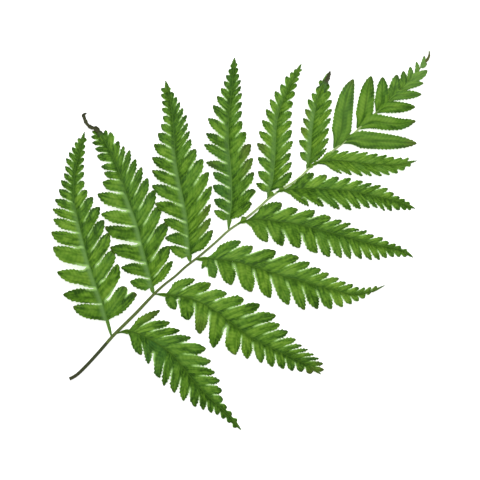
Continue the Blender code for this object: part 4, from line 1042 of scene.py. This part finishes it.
leaf_tissue = leaf_tissue_group()
stem_tissue = stem_tissue_group()
FINISHES = {
    "leaf_top": (leaf_tissue, {}),
    "leaf_under": (leaf_tissue, {
        "Deep": (92, 122, 58), "Fresh": (118, 148, 84), "Pale": (150, 174, 116), "Dry": (120, 100, 60),
        "Vein contrast": 0.6}),
    "rib_left": (stem_tissue, {
        "Foot": (90, 132, 54), "Top": (62, 98, 18), "Groove": (74, 114, 34), "Flank": (110, 150, 74),
        "Flank share": 0.9, "Change from": 0.3, "Change to": 0.75}),
    "rib_right": (stem_tissue, {
        "Foot": (64, 100, 18), "Top": (70, 108, 20), "Groove": (52, 86, 10), "Change from": 0.0,
        "Change to": 0.6}),
    "stalk": (stem_tissue, {
        "Foot": (82, 98, 46), "Top": (184, 208, 142), "Groove": (104, 124, 60), "Crown": (88, 124, 40),
        "Crown from": 0.76, "Crown to": 0.83, "Change from": 0.22, "Change to": 0.58}),
    "stipe": (stem_tissue, {
        "Foot": (64, 68, 44), "Top": (66, 78, 46), "Groove": (54, 60, 36), "Change from": 0.0,
        "Change to": 1.0}),
    "dried": (leaf_tissue, {
        "Deep": (40, 70, 24), "Fresh": (64, 104, 44), "Pale": (96, 128, 62), "Dry": (60, 54, 40),
        "Vein contrast": 0.2}),
}
MATERIALS = {name: tissue_material(name, *finish) for name, finish in FINISHES.items()}

# One piece for each pinna, one for the leaflets of the upper part and one for the dried ends
rng = np.random.default_rng(SEED)
pieces = [pinna_piece(pinna, rng) for pinna in PINNAE]
upper = [leaflet_piece(name, points, width, rng) for name, (points, width) in LEAFLETS.items()]
pieces.append(rounded(joined(upper, "upper_leaflets")))
ends = [withered_piece(name, *values) for name, values in WITHERED.items()]
pieces.append(rounded(joined(ends, "withered_ends"), WITHERED_ANGLE_DEG))

# The stalk between the pinnae, and the bare stipe below them
stalk = Rib(RACHIS, 500)
joint = BARE_STALK + NODE_GAP / 2
pieces.append(stalk_piece("rachis", joint, stalk.length, "stalk"))
stipe = stalk_piece("bare_stipe", 0.0, joint, "stipe")

for blank, _, _ in BLANKS.values():
    bpy.data.objects.remove(blank)

for piece in pieces:
    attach(piece, "root")
    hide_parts("blade")
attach(stipe, "root")
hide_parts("stipe")

# Floor, a sheet of white paper that shines a little, just below the frond
FLOOR_SIZE = 12.0
FLOOR_DROP = 0.0002
PAPER_GLOW = 0.62
bpy.ops.object.select_all(action="DESELECT")
bpy.ops.mesh.primitive_plane_add(size=FLOOR_SIZE, location=(0, 0, -FLOOR_DROP))
floor = bpy.context.active_object
floor.name = "floor"
paper = bpy.data.materials.new("pale_paper")
paper.use_nodes = True
sheen = paper.node_tree.nodes["Principled BSDF"]
sheen.inputs["Base Color"].default_value = (0.9, 0.9, 0.9, 1)
sheen.inputs["Roughness"].default_value = 0.9
sheen.inputs["Specular IOR Level"].default_value = 0.0
sheen.inputs["Emission Color"].default_value = (1, 1, 1, 1)
sheen.inputs["Emission Strength"].default_value = PAPER_GLOW
floor.data.materials.append(paper)

# Light: an even white sky and one soft lamp, in m and W
SKY_STRENGTH = 0.55
LAMP_PLACE = (-0.9, 0.7, 1.6)
LAMP_SIZE = 1.2
LAMP_WATTS = 26
world = bpy.data.worlds.new("studio")
bpy.context.scene.world = world
world.use_nodes = True
sky = world.node_tree.nodes["Background"]
sky.inputs["Color"].default_value = (1, 1, 1, 1)
sky.inputs["Strength"].default_value = SKY_STRENGTH
lamp_data = bpy.data.lights.new("soft_box", "AREA")
lamp_data.shape = "DISK"
lamp_data.size = LAMP_SIZE
lamp_data.energy = LAMP_WATTS
lamp = bpy.data.objects.new("soft_box", lamp_data)
bpy.context.scene.collection.objects.link(lamp)
lamp.location = LAMP_PLACE
lamp.rotation_euler = (-Vector(LAMP_PLACE)).to_track_quat("-Z", "Y").to_euler()

# Camera: straight above the middle of the sheet, rolled as in the photo; sizes in mm
VIEW_MIDDLE = (239.5, 239.5)
VIEW_WIDTH = 480.0
LENS = 300.0
SENSOR = 36.0
VIEW_HEIGHT = 3.0             # of the level that is seen at true size
cam_data = bpy.data.cameras.new("camera")
cam_data.lens = LENS
cam_data.sensor_width = SENSOR
cam_data.clip_end = 100.0
camera = bpy.data.objects.new("camera", cam_data)
bpy.context.scene.collection.objects.link(camera)
cx, cy = turned(*VIEW_MIDDLE)
camera.location = (cx * MM, cy * MM, (VIEW_WIDTH * LENS / SENSOR + VIEW_HEIGHT) * MM)
camera.rotation_euler = (0, 0, math.radians(90 - STALK_ANGLE_DEG))
bpy.context.scene.camera = camera
bpy.context.scene.view_settings.view_transform = "Standard"
